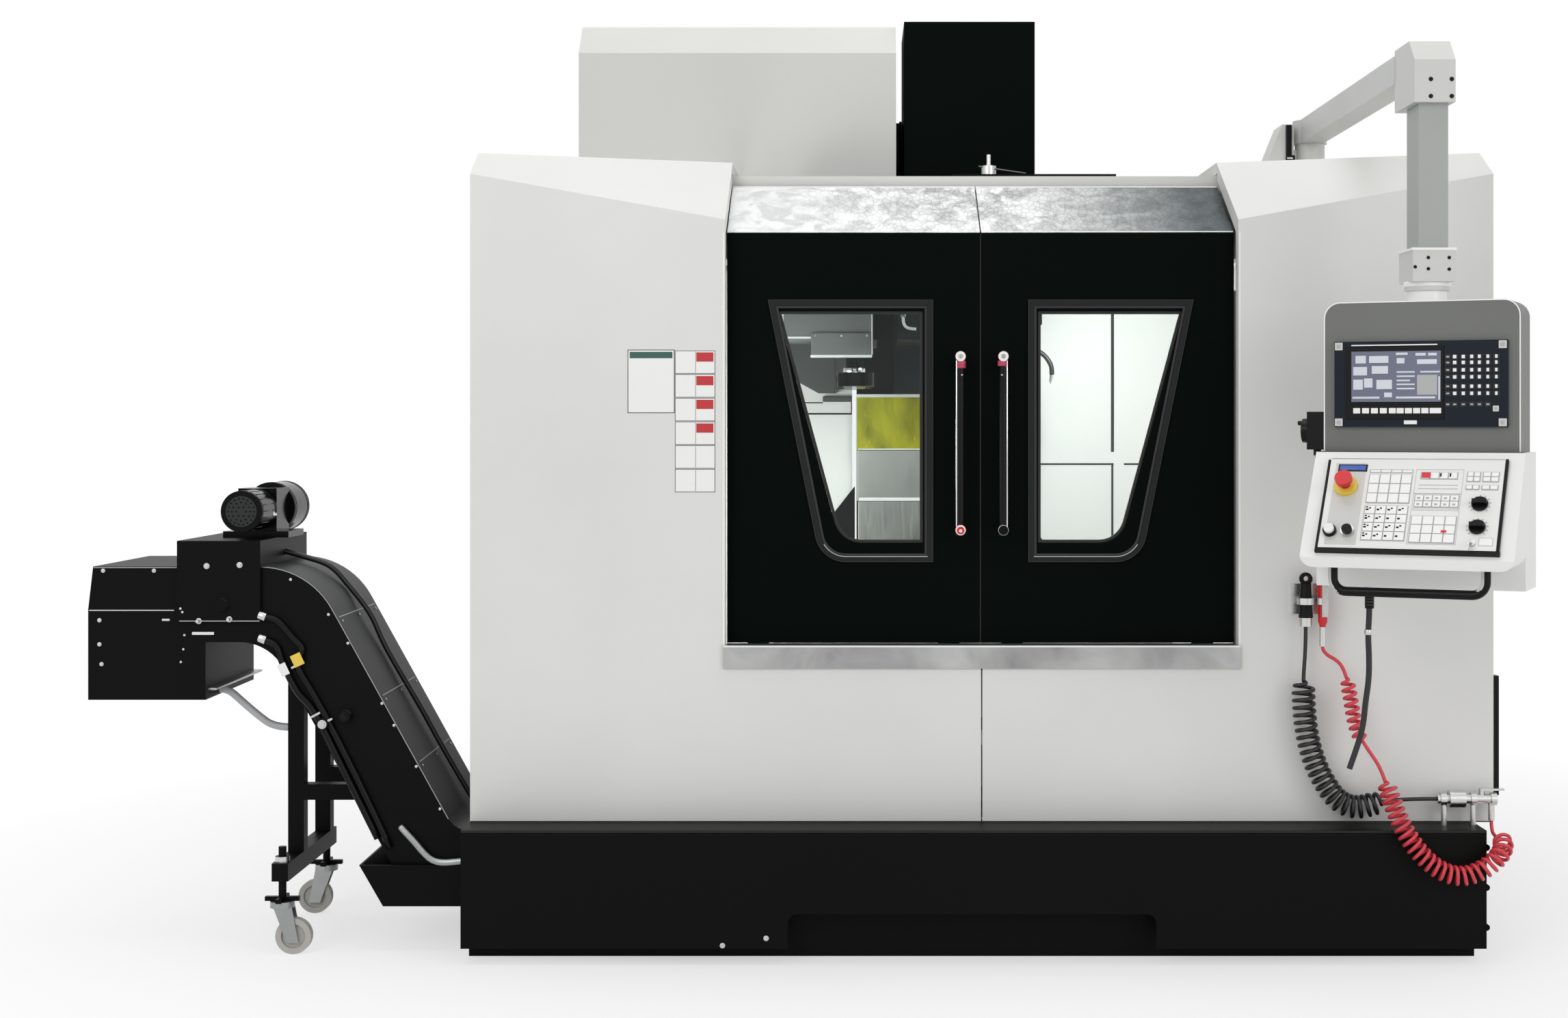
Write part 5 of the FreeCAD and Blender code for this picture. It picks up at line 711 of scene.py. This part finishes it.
kit.slab(BLACK_PLASTIC, (1031, 903, 2334), (1060, 915.5, 2352), 0.003)
kit.slab(WHITE_AND_PAINTED_HIGHLIGHT, (1034, 901, 2340), (1052, 903.5, 2344), 0.0006)
kit.done()

kit = Kit("case_trim", "pendant", mm, PENDANT)
# painted highlight: a white bead along the sides and top of the case's front edge
rim = [(-0.2487, 1.417), (-0.2487, 1.7628)]
for step in range(1, 9):
    turn = math.pi / 2 * step / 8
    rim.append((-0.2077 - 0.041 * math.cos(turn), 1.7637 + 0.041 * math.sin(turn)))
rim += [(-x, z) for x, z in reversed(rim)]
kit.band(WHITE_AND_PAINTED_HIGHLIGHT, rim, 0.0015, -0.0912, -0.0890, closed=False)
kit.slab(SEAM, (-262, -113, 1415), (262, -90.5, 1416.4), 0.0003)
for x, z, size in ((-208, 1690, 10), (208, 1690, 10), (208, 1492, 10), (-208, 1492, 10), (191, 1527, 7.5)):
    kit.slab(PALE_AND_PAINTED_LIGHT, (x - size, -106, z - size), (x + size, -101.6, z + size), 0.0012)
    kit.slab(KEY_GAP, (x - size / 2, -106.6, z - size / 2), (x + size / 2, -105.8, z + size / 2), 0.0004)
kit.slab(BLACK_PLASTIC, (-190, -105, 1500), (62, -101.6, 1688), 0.0018)
kit.slab(WHITE_AND_PAINTED_HIGHLIGHT, (-175, -105.6, 1690.5), (45, -101.6, 1693.5), 0.0006)
kit.slab(DISPLAY, (-175, -105.8, 1545), (54, -104.8, 1676), 0.0005)
for x, z, wide, high in (
        (-164, 1655, 27, 20), (-129, 1655, 50, 18), (-170, 1625, 36, 22), (-122, 1628, 42, 20),
        (-170, 1590, 25, 26), (-142, 1594, 22, 24), (-110, 1590, 40, 24), (-60, 1669, 30, 6),
        (-10, 1667, 26, 7), (22, 1667, 22, 7), (-58, 1651, 20, 14), (-6, 1648, 50, 12),
        (-58, 1622, 46, 4), (-58, 1611, 46, 4), (-58, 1600, 34, 4), (-58, 1590, 46, 4),
        (-58, 1579, 46, 4), (2, 1622, 50, 4), (-172, 1556, 70, 5), (-60, 1556, 100, 5),
        (-90, 1563, 20, 12), (48, 1580, 4, 60)):
    kit.slab(TILE, (x, -106.3, z - high / 2), (x + wide, -105.5, z + high / 2), 0.0003)
kit.slab(KEY_GAP, (-6, -106.2, 1563), (45, -105.5, 1614), 0.0003)
for x in (-170, -147, -124, -101, -78, -58, -37, -16, 5, 26, 43):
    kit.slab(WHITE_AND_PAINTED_HIGHLIGHT, (x, -106.8, 1515), (x + (18 if x < 40 else 12), -104.6, 1529), 0.0008)
kit.slab(WHITE_AND_PAINTED_HIGHLIGHT, (-40, -103.6, 1487), (-7, -101.6, 1497), 0.0006)
for row, z in enumerate((1660, 1645, 1626, 1608, 1584, 1566, 1538)):
    for column, x in enumerate((71, 88.5, 110, 131, 150, 171, 192)):
        faint = row == 6 or column == 0
        if x == 192 and row == 6:
            continue
        kit.slab(CHARCOAL, (x - 8, -103, z - 6.5), (x + 8, -101.6, z + 6.5), 0.001)
        wide, high = (4, 2) if faint else (4.6 - column * 0.25, 4.4)
        kit.slab(KEY_GAP if faint else WHITE_AND_PAINTED_HIGHLIGHT, (x - wide, -103.8, z - high),
                 (x + wide, -102.6, z + high), 0.0008)
kit.pipe(RUBBER, [(-284, -20, 1424), (-284, -22, 1380), (-276, -32, 1300), (-274, -40, 1200),
                  (-272, -46, 1120)], 0.0052)
kit.drum(BLACK_PLASTIC, (-284, -20, 1431), (-284, -20, 1404), 0.010)
for z in (1300, 1140):
    kit.slab(BLACK_PLASTIC, (-282, -52, z), (-264.5, -24, z + 9), 0.001)
kit.done()

kit = Kit("desk_trim", "pendant", mm, DESK)


def field(finish, u0, u1, v0, v1, high=0.5, bevel=0.0003):
    """A flat raised field on the desk's plate."""
    kit.slab(finish, (u0, -8 - high, v0), (u1, -7.6, v1), bevel)


def keys(u0, u1, v0, v1, columns, rows, high=3.2):
    """A block of keys on a grey field."""
    gap = 2.6
    field(KEY_GAP, u0, u1, v0, v1)
    wide, tall = (u1 - u0 - gap) / columns, (v1 - v0 - gap) / rows
    for row in range(rows):
        for column in range(columns):
            u, v = u0 + gap + column * wide, v0 + gap + row * tall
            kit.slab(WHITE_AND_PAINTED_HIGHLIGHT, (u, -8 - high, v), (u + wide - gap, -8.2, v + tall - gap), 0.0009)


def mark(finish, u0, u1, v0, v1, near=11.6, bevel=0.0002):
    """A flat mark on a key."""
    kit.slab(finish, (u0, -near, v0), (u1, -11.1, v1), bevel)


for u0, u1, v0, v1, low, finish in (
        (-227, -220.6, -137, 132, 0.3, BLACK_PLASTIC), (220.6, 228, -137, 137, 0.3, BLACK_PLASTIC),
        (-227, 230, -150, -137.6, 0.3, BLACK_PLASTIC), (-219, 219, 134.4, 136.4, -7.6, KEY_GAP)):
    kit.slab(finish, (u0, -9.5, v0), (u1, low, v1), 0.0012)
for u0, u1, v0, v1 in (
        (-205, -125, -128, -103.5), (-180.5, -164.5, -103.5, -74.5), (-135.5, -125, -103.5, -74.5),
        (-205, -125, -74.5, 34.5), (-205, -185, 34.5, 61.5), (-157, -125, 34.5, 61.5),
        (-205, -125, 61.5, 122)):
    field(PALE_AND_PAINTED_LIGHT, u0, u1, v0, v1, bevel=0)
field(BLACK_PLASTIC, -198, -123, 95, 117, 1.6, 0.0006)
field(BLUE, -194, -127, 98.5, 113.5, 2.2)
field(DISPLAY, -190, -150, 102, 104, 2.6)
turns = [math.tau * step / 40 for step in range(40)]
kit.band(YELLOW, [(-0.171 + 0.0206 * math.cos(turn), 0.048 + 0.0206 * math.sin(turn)) for turn in turns],
         0.0066, -0.0188, -0.009)
keys(-116, -5, -2, 88, 4, 3)
keys(-116, -5, 91, 103, 4, 1, high=1.6)
keys(-116, -5, -115, -8, 4, 4)
for row in range(4):
    for column in range(4):
        u, v = -109.5 + column * 27.3, -100 + row * 26.3
        mark(BLACK_PLASTIC, u - 2, u + 5, v - 4, v + 1)
        if column < 2 or row % 2:
            mark(BLACK_PLASTIC, u + 6, u + 11, v + 1, v + 5)
        if column == 0:
            mark(BLACK_PLASTIC, u - 2, u + 3, v + 4, v + 8)
for u0, v0, u1, v1 in ((2, 30, 121, 104), (2, -17, 121, 29), (1, -122, 121, -20)):
    for line in ((u0, u1, v0, v0 + 1), (u0, u1, v1 - 1, v1), (u0, u0 + 1, v0, v1), (u1 - 1, u1, v0, v1)):
        field(KEY_GAP, *line, bevel=0)
keys(14, 108, 73, 96, 4, 1)
kit.slab(RED, (17, -11.8, 76), (40, -8.3, 93), 0.001)
for u in (66, 90):
    mark(BLACK_PLASTIC, u - 3, u + 1, 80, 91, 11.7)
field(KEY_GAP, 12, 110, 55, 57)
field(KEY_GAP, 12, 110, 44, 46)
keys(6, 118, -13, 26, 5, 2)
for number in range(10):
    u, v = 17 + number % 5 * 22.2, -4 + number // 5 * 18.5
    mark(KEY_GAP, u - 4, u + 4, v - 3, v + 3)
keys(4, 118, -119, -37, 4, 3)
mark(RED, 82, 96, -88, -81, 11.7, 0.0003)
for v0, v1, rows in ((66, 98, 2), (42, 58, 1)):
    keys(129, 164, v0, v1, 2, rows)
    keys(168, 210, v0, v1, 2, rows)
for v in (0, -69):
    for step in range(11):
        turn = math.radians(-135 + 27 * step)
        tick = Matrix.Rotation(turn, 3, "Y")
        spot = mm(169, -8.5, v) + tick @ mm(0, 0, 25.5)
        kit.slab(BLACK_PLASTIC, spot - mm(0.5, 0.4, 2), spot + mm(0.5, 0, 2), 0, tick)
    kit.drum(KEY_GAP, (169, -7.8, v), (169, -8.6, v), 0.0225, 0.0002, 40)
field(KEY_GAP, 176, 211, -123, -99)
field(WHITE_AND_PAINTED_HIGHLIGHT, 177.5, 209.5, -121.5, -100.5, 0.9)
kit.slab(STEEL, (158.5, -24, -122), (161.5, -15.5, -114), 0.0004)
kit.slab(STEEL, (156, -26, -141), (158, -18, -118), 0.0004)
kit.drum(STEEL, (160, -20, -118), (156, -21, -120), 0.0055, 0.0004, 20)
kit.done()


# -------------------- chip conveyor

kit = Kit("conveyor_trim", "machine")
RISE = math.radians(61)    # of the incline


def on_incline(reach, inward):
    """A point of the incline's top plates at a distance down from their start, in millimetres."""
    return at(-1831 + math.cos(RISE) * reach, inward, 965 - math.sin(RISE) * reach)


def motor(near, across=0, up=0):
    """A point by the motor's axis, in millimetres."""
    return at(-2095 + across, near, 1239 + up)


# painted highlights: light lines along the chute's seam and top edge, and across the drive box
kit.slab(PALE_AND_PAINTED_LIGHT, (-2519, 38.8, 959.5), (-2279, 40.3, 962.5), 0.0004)
kit.slab(GREY_PAINTED_SHADE_AND_HIGHLIGHT, (-2507, 38.8, 1080.5), (-2269, 40.3, 1083), 0.0004)
kit.slab(GREY_PAINTED_SHADE_AND_HIGHLIGHT, (-2260, 24.9, 930.6), (-2034, 26.2, 933.4), 0.0004)
kit.slab(WHITE_AND_PAINTED_HIGHLIGHT, (-2228, 37, 892), (-2166, 40.2, 900), 0.001)
for x, z in ((-2479.5, 1073), (-2336, 1073), (-2490, 933), (-2490, 865), (-2484, 809)):
    kit.bolt(STEEL, (x, 40, z), 0.004, 0.004)
for x, z in ((-2257, 967), (-2251.6, 957), (-2250, 891), (-2253, 851), (-2260, 815)):
    kit.dome(STEEL, (x, 40 if z < 929 else 26, z), 0.0036, 0.002)
kit.slab(STEEL, (-2313, 38, 931), (-2291, 40.2, 937), 0.001)
for x, z in ((-2183, 1087), (-2090, 1090)):
    kit.bolt(STEEL, (x, 26, z), 0.0056, 0.006)
for x, z in ((-2205, 932), (-2119, 937)):
    kit.drum(STEEL, (x, 26.2, z), (x, 8, z), 0.0048, sides=16)
    kit.bolt(STEEL, (x, 26, z), 0.0056, 0.006)
kit.slab(STAINLESS, (-2190.5, 60, 733), (-2164, 540, 739), 0.001)
# a painted highlight along the curved flange's edge, its bolts, and painted highlights at the joints of its
# top plates
BEND, BEND_RADIUS = Vector((-2.0352, 0.852)), 0.2312    # of the flange, in X and Z
edge = [(-2.0300, 1.0832)]
for step in range(13):
    turn = math.radians(90 - 61 * step / 12)
    edge.append(BEND + BEND_RADIUS * Vector((math.cos(turn), math.sin(turn))))
edge.append((-1.5042, 0.3713))
kit.band(GREY_PAINTED_SHADE_AND_HIGHLIGHT, edge, 0.0011, depth(38.9), depth(40.3), closed=False)
for x, z in ((-1950, 1048), (-1843, 949), (-1788, 868), (-1692, 698), (-1658, 636), (-1595, 520),
             (-1528, 400)):
    kit.dome(STEEL, (x, 40, z), 0.0045, 0.003)
out = Vector((math.sin(RISE), 0, math.cos(RISE))) * 0.0004
for reach in (28, 282, 497):
    spot = on_incline(reach, 290)
    kit.slab(GREY_PAINTED_SHADE_AND_HIGHLIGHT, spot + out - mm(1.5, 230, 0.6), spot + out + mm(1.5, 230, 0.6), 0.0003,
             Matrix.Rotation(RISE, 3, "Y"))
    for inward in (75, 290, 505):
        kit.dome(STEEL, on_incline(reach + 14, inward), 0.004, 0.002, way=out)
kit.bolt(STEEL, (-1855, 14, 642), 0.0085, 0.006)
kit.bolt(BLACK_PLASTIC, (-1793, 14, 664), 0.0085, 0.006)
# two black conduits with their tags, and a bright flexible one at the foot
for points in (
        ((-2029, 946), (-1985, 932), (-1940, 882), (-1915, 852), (-1929, 807), (-1885, 728),
         (-1842, 650), (-1754, 475), (-1667, 292)),
        ((-2029, 882), (-1989, 862), (-1970, 813), (-1930, 734), (-1876, 667), (-1789, 493),
         (-1702, 318))):
    kit.pipe(BLACK_PLASTIC, [(x, 30.5, z) for x, z in points], 0.0095)
    x, z = points[0]
    kit.drum(STEEL, (x - 8, 30.5, z + 3), (x + 12, 30.5, z - 4), 0.0125)
    for x, z in points[4:-1:2]:
        kit.slab(STEEL, (x - 16, 19.5, z - 3), (x + 16, 40, z + 3), 0.001,
                 Matrix.Rotation(math.radians(-28), 3, "Y"))
for finish, x, z, wide in ((WHITE_AND_PAINTED_HIGHLIGHT, -1965, 796, 12), (YELLOW, -1926, 823, 15)):
    kit.slab(finish, (x - wide, 18.6, z - 17.5), (x + wide, 20, z + 17.5), 0.0004,
             Matrix.Rotation(math.radians(-25), 3, "Y"))
kit.pipe(STAINLESS, [(-1640, 34, 352), (-1606, 28, 318), (-1545, 27, 257),
                     (-1475, 27, 254), (-1442, 30, 262)], 0.0105)
# the motor: its lead over the top, cowls, ribs, vents and plate
kit.pipe(RUBBER, [
    (-2073, 300, 1172), (-2045, 305, 1120), (-1990, 312, 1100), (-1906, 318, 1069),
    (-1850, 322, 1010), (-1787, 325, 926), (-1738, 326, 822), (-1633, 328, 640), (-1580, 329, 543),
    (-1487, 330, 384), (-1462, 331, 354)], 0.008)
for near in (62, 74, 206, 218):
    kit.drum(GLOSS_BLACK, motor(near), motor(near + 5), 0.0592, 0.0008, 48)
for number in range(20):
    turn = math.tau * number / 20
    rib = math.cos(turn) * 58.2, math.sin(turn) * 58.2
    kit.drum(GLOSS_BLACK, motor(84, *rib), motor(202, *rib), 0.0013, 0.0004, 8)
kit.drum(CHARCOAL, motor(60.2), motor(58.4), 0.044, 0.0008, 48)
for ring, count in ((14, 6), (26, 12), (37, 18)):
    for number in range(count):
        turn = math.tau * number / count
        vent = ring * math.cos(turn), ring * math.sin(turn)
        kit.drum(GLOSS_BLACK, motor(58.4, *vent), motor(57.9, *vent), 0.0026, 0.0001, 10)
for near in (376, 392, 520, 536):
    kit.drum(GLOSS_BLACK, motor(near), motor(near + 5), 0.0751, 0.0008, 56)
kit.slab(CHROME, (-2041, 190, 1222), (-2037.4, 226, 1236), 0.0004)
kit.done()

# -------------------- cable ends on the pendant

kit = Kit("cable_trim", "pendant", mm)
kit.drum(BLACK_PLASTIC, (1005, -1556.6, 1046), (1005, -1556.6, 1000), 0.012)
for z in (1008, 1016, 1024):
    kit.drum(RUBBER, (1005, -1556.6, z), (1005, -1556.6, z + 4), 0.0128)
kit.drum(STEEL, (1001.3, -1557, 944), (1001, -1557, 930), 0.0098)
kit.done()


# -------------------- hoses and the pendant's cable

WASH_ROUTE = [(900, -1245, 924), (900, -1245, 862), (891, -1250, 770), (896, -1250, 660),
              (914, -1250, 568), (947, -1250, 493), (990, -1250, 434), (1044, -1250, 417),
              (1112, -1249, 438), (1196, -1245, 443), (1266, -1245, 443)]
AIR_ROUTE = [(947, -1245, 868), (947, -1245, 846), (1000, -1262, 826), (1018, -1272, 734),
             (1030, -1280, 643), (1060, -1292, 590), (1094, -1310, 540), (1112, -1340, 463),
             (1150, -1364, 362), (1212, -1378, 284), (1284, -1382, 250), (1352, -1382, 268),
             (1404, -1376, 308), (1430, -1330, 338), (1418, -1262, 344), (1417, -1245, 360),
             (1417, -1245, 384)]
DRAIN_ROUTE = [(-2190, -1018, 722), (-2166, -1018, 722), (-2130, -1019, 690), (-2084, -1020, 650),
               (-2034, -1018, 612), (-1988, -1018, 612)]
PENDANT_ROUTE = [(1005, -1556.6, 1045), (1005, -1556.6, 990), (1001, -1557, 930),
                 (1004, -1558, 870), (1003, -1558, 810), (994, -1557, 750), (989, -1556, 690),
                 (972, -1555, 630), (952, -1555, 575)]


def route_curve(label, points, radius=0.0, finish=None):
    """A smooth NURBS line with the given control points, round where a radius is given."""
    curve = bpy.data.curves.new(label, "CURVE")
    curve.dimensions = "3D"
    curve.resolution_u = 12
    spline = curve.splines.new("NURBS")
    spline.points.add(len(points) - 1)
    for spot, point in zip(spline.points, points):
        spot.co = (*point, 1)
    spline.order_u = 3
    spline.use_endpoint_u = True
    if radius:
        curve.bevel_depth = radius
        curve.bevel_resolution = 4
        curve.use_fill_caps = True
        curve.materials.append(finish)
    return linked(label, curve)


def metres(points):
    return [Vector(point) / 1000 for point in points]


def line_of(points):
    """The points of the smooth line along a route, and the distance of each from its start."""
    guide = route_curve("guide", points)
    sampled = bpy.data.meshes.new_from_object(guide)
    spots = [vertex.co.copy() for vertex in sampled.vertices]
    bpy.data.objects.remove(guide)
    bpy.data.meshes.remove(sampled)
    reaches = [0.0]
    for before, after in zip(spots, spots[1:]):
        reaches.append(reaches[-1] + (after - before).length)
    return spots, reaches


def along(spots, reaches, reach):
    """Place and direction at a distance along a line."""
    for number in range(len(spots) - 1):
        if reach <= reaches[number + 1]:
            break
    forward = spots[number + 1] - spots[number]
    share = (reach - reaches[number]) / (reaches[number + 1] - reaches[number])
    return spots[number] + forward * share, forward.normalized()


def curly(label, points, windings, planned, radius, finish):
    """A hose whose curls wind round its route.

    Windings are (start, end, turns, coil radius) in metres, of a route as long as planned.
    """
    spots, reaches = line_of(points)
    scale = reaches[-1] / planned
    line = [points[0], points[0] + (points[1] - points[0]).normalized() * 2 * radius]
    steps = 14
    last = 2 * radius
    for start, end, turns, coil in windings:
        start, end = start * scale, end * scale
        while start - last > 0.03:
            last += 0.02
            line.append(along(spots, reaches, last)[0])
        for step in range(turns * steps + 1):
            turn = step / steps
            place, forward = along(spots, reaches, start + (end - start) * turn / turns)
            outward = Vector((0, 1, 0)) - forward * forward.y
            outward.normalize()
            ramp = min(1.0, turn, turns - turn)
            swell = coil * 1.015 * ramp * ramp * (3 - 2 * ramp)
            angle = math.tau * turn
            aside = outward * math.cos(angle) + forward.cross(outward) * math.sin(angle)
            line.append(place + aside * swell)
        last = end
    while reaches[-1] - last > 0.03:
        last += 0.02
        line.append(along(spots, reaches, last)[0])
    line.append(spots[-1])
    return route_curve(label, line, radius, finish)


wash_hose = curly("wash_hose_curls", metres(WASH_ROUTE), [(0.150, 0.640, 24, 0.028)], 0.791, 0.0055,
                  RUBBER)
air_hose = curly("air_hose_curls", metres(AIR_ROUTE),
                 [(0.112, 0.300, 9, 0.017), (0.420, 0.985, 28, 0.023)], 1.060, 0.005, RED_HOSE)
drain_hose = route_curve("drain_hose_bend", metres(DRAIN_ROUTE), 0.011, GREY_HOSE)
pendant_cable = route_curve("pendant_cable_drop", metres(PENDANT_ROUTE), 0.008, RUBBER)
CORDS = (
    (wash_hose, "wash_hose", WASH_ROUTE, 4.386, 0.011, "object", "coiled", "machine", "hose_black"),
    (air_hose, "air_hose", AIR_ROUTE, 5.095, 0.010, "object", "coiled", "machine", "hose_red"),
    (drain_hose, "drain_hose", DRAIN_ROUTE, 0.240, 0.022, "object", "hanging", "machine", "hose_clear"),
    (pendant_cable, "pendant_cable", PENDANT_ROUTE, 0.477, 0.016, "bare", "hanging", "pendant",
     "hose_black"),
)
for piece, label, route, length, diameter, far_end, lay, body, slot in CORDS:
    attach(piece, body)
    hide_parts(label)


# -------------------- stage, light and camera

def white_rays(look):
    """1 for rays from the camera and for those that mirror or pass glass, else 0."""
    rays = look.tree.nodes.new("ShaderNodeLightPath").outputs
    white = rays["Is Camera Ray"]
    for kind in ("Is Glossy Ray", "Is Transmission Ray"):
        white = look.add("ShaderNodeMath", "Value", {0: white, 1: rays[kind]}, operation="MAXIMUM")
    return white


def floor_look():
    """Pale, with the object's shadow near it, and white far from it."""
    look = Look("floor_white")
    look.dress({"Base Color": (0.90, 0.90, 0.90, 1), "Specular IOR Level": 0.1,
                "Roughness": look.spread(look.noise(40, 3), 0.6, 0.75)})
    reach = look.add("ShaderNodeVectorMath", "Value", {0: look.spot()}, operation="LENGTH")
    share = look.spread(reach, 0.55, 1.0, 1.5, 3.7)
    factor = look.add("ShaderNodeMath", "Value", {0: share, 1: white_rays(look)}, operation="MULTIPLY")
    glow = look.add("ShaderNodeEmission", "Emission", {"Strength": 1.0})
    return look.blend(factor, look.shader.outputs["BSDF"], glow)


mesh = bpy.data.meshes.new("floor")
mesh.from_pydata([(-30, -20, 0), (30, -20, 0), (30, 30, 0), (-30, 30, 0)], [], [(0, 1, 2, 3)])
mesh.materials.append(floor_look())
linked("floor", mesh)

# The sky lights the object less than it shows behind it.
sky = Tree(bpy.data.worlds.new("studio"), "World Output")
bpy.context.scene.world = sky.owner
sky.feed(sky.tree.nodes["Background"], {"Color": (1, 1, 1, 1), "Strength": 0.55})
seen = sky.add("ShaderNodeBackground", "Background", {"Color": (1, 1, 1, 1), "Strength": 1.0})
sky.blend(white_rays(sky), sky.tree.nodes["Background"].outputs["Background"], seen)


def lamp(label, place, target, size, power):
    light = bpy.data.lights.new(label, "AREA")
    light.shape = "RECTANGLE"
    light.size, light.size_y = size
    light.energy = power
    piece = linked(label, light)
    piece.location = place
    piece.visible_camera = False
    piece.rotation_euler = (Vector(target) - Vector(place)).to_track_quat("-Z", "Y").to_euler()


lamp("key", (-4.2, -8.0, 5.0), (0, -0.8, 1.2), (4.0, 4.0), 163)
lamp("fill", (5.5, -7.5, 3.2), (0.3, -0.8, 1.2), (3.5, 3.5), 104)
lamp("top", (0, -1.0, 6.5), (0, -0.3, 0), (5, 4), 110)
lamp("chamber_west", (-0.95, -0.95, 1.35), (-0.42, -0.02, 1.25), (0.5, 0.4), 8)
lamp("chamber_east", (0.44, -0.98, 1.86), (0.50, -0.2, 1.2), (0.5, 0.12), 8.5)

camera = bpy.data.cameras.new("camera")
camera.lens = 50.72
camera.sensor_width = 36
camera.shift_x = -0.045
camera.shift_y = -0.0548
viewer = linked("camera", camera)
viewer.location = (-0.357, -7.4, 1.49)
viewer.rotation_euler = (math.radians(90), 0, 0)
bpy.context.scene.camera = viewer
bpy.context.scene.view_settings.view_transform = "Standard"
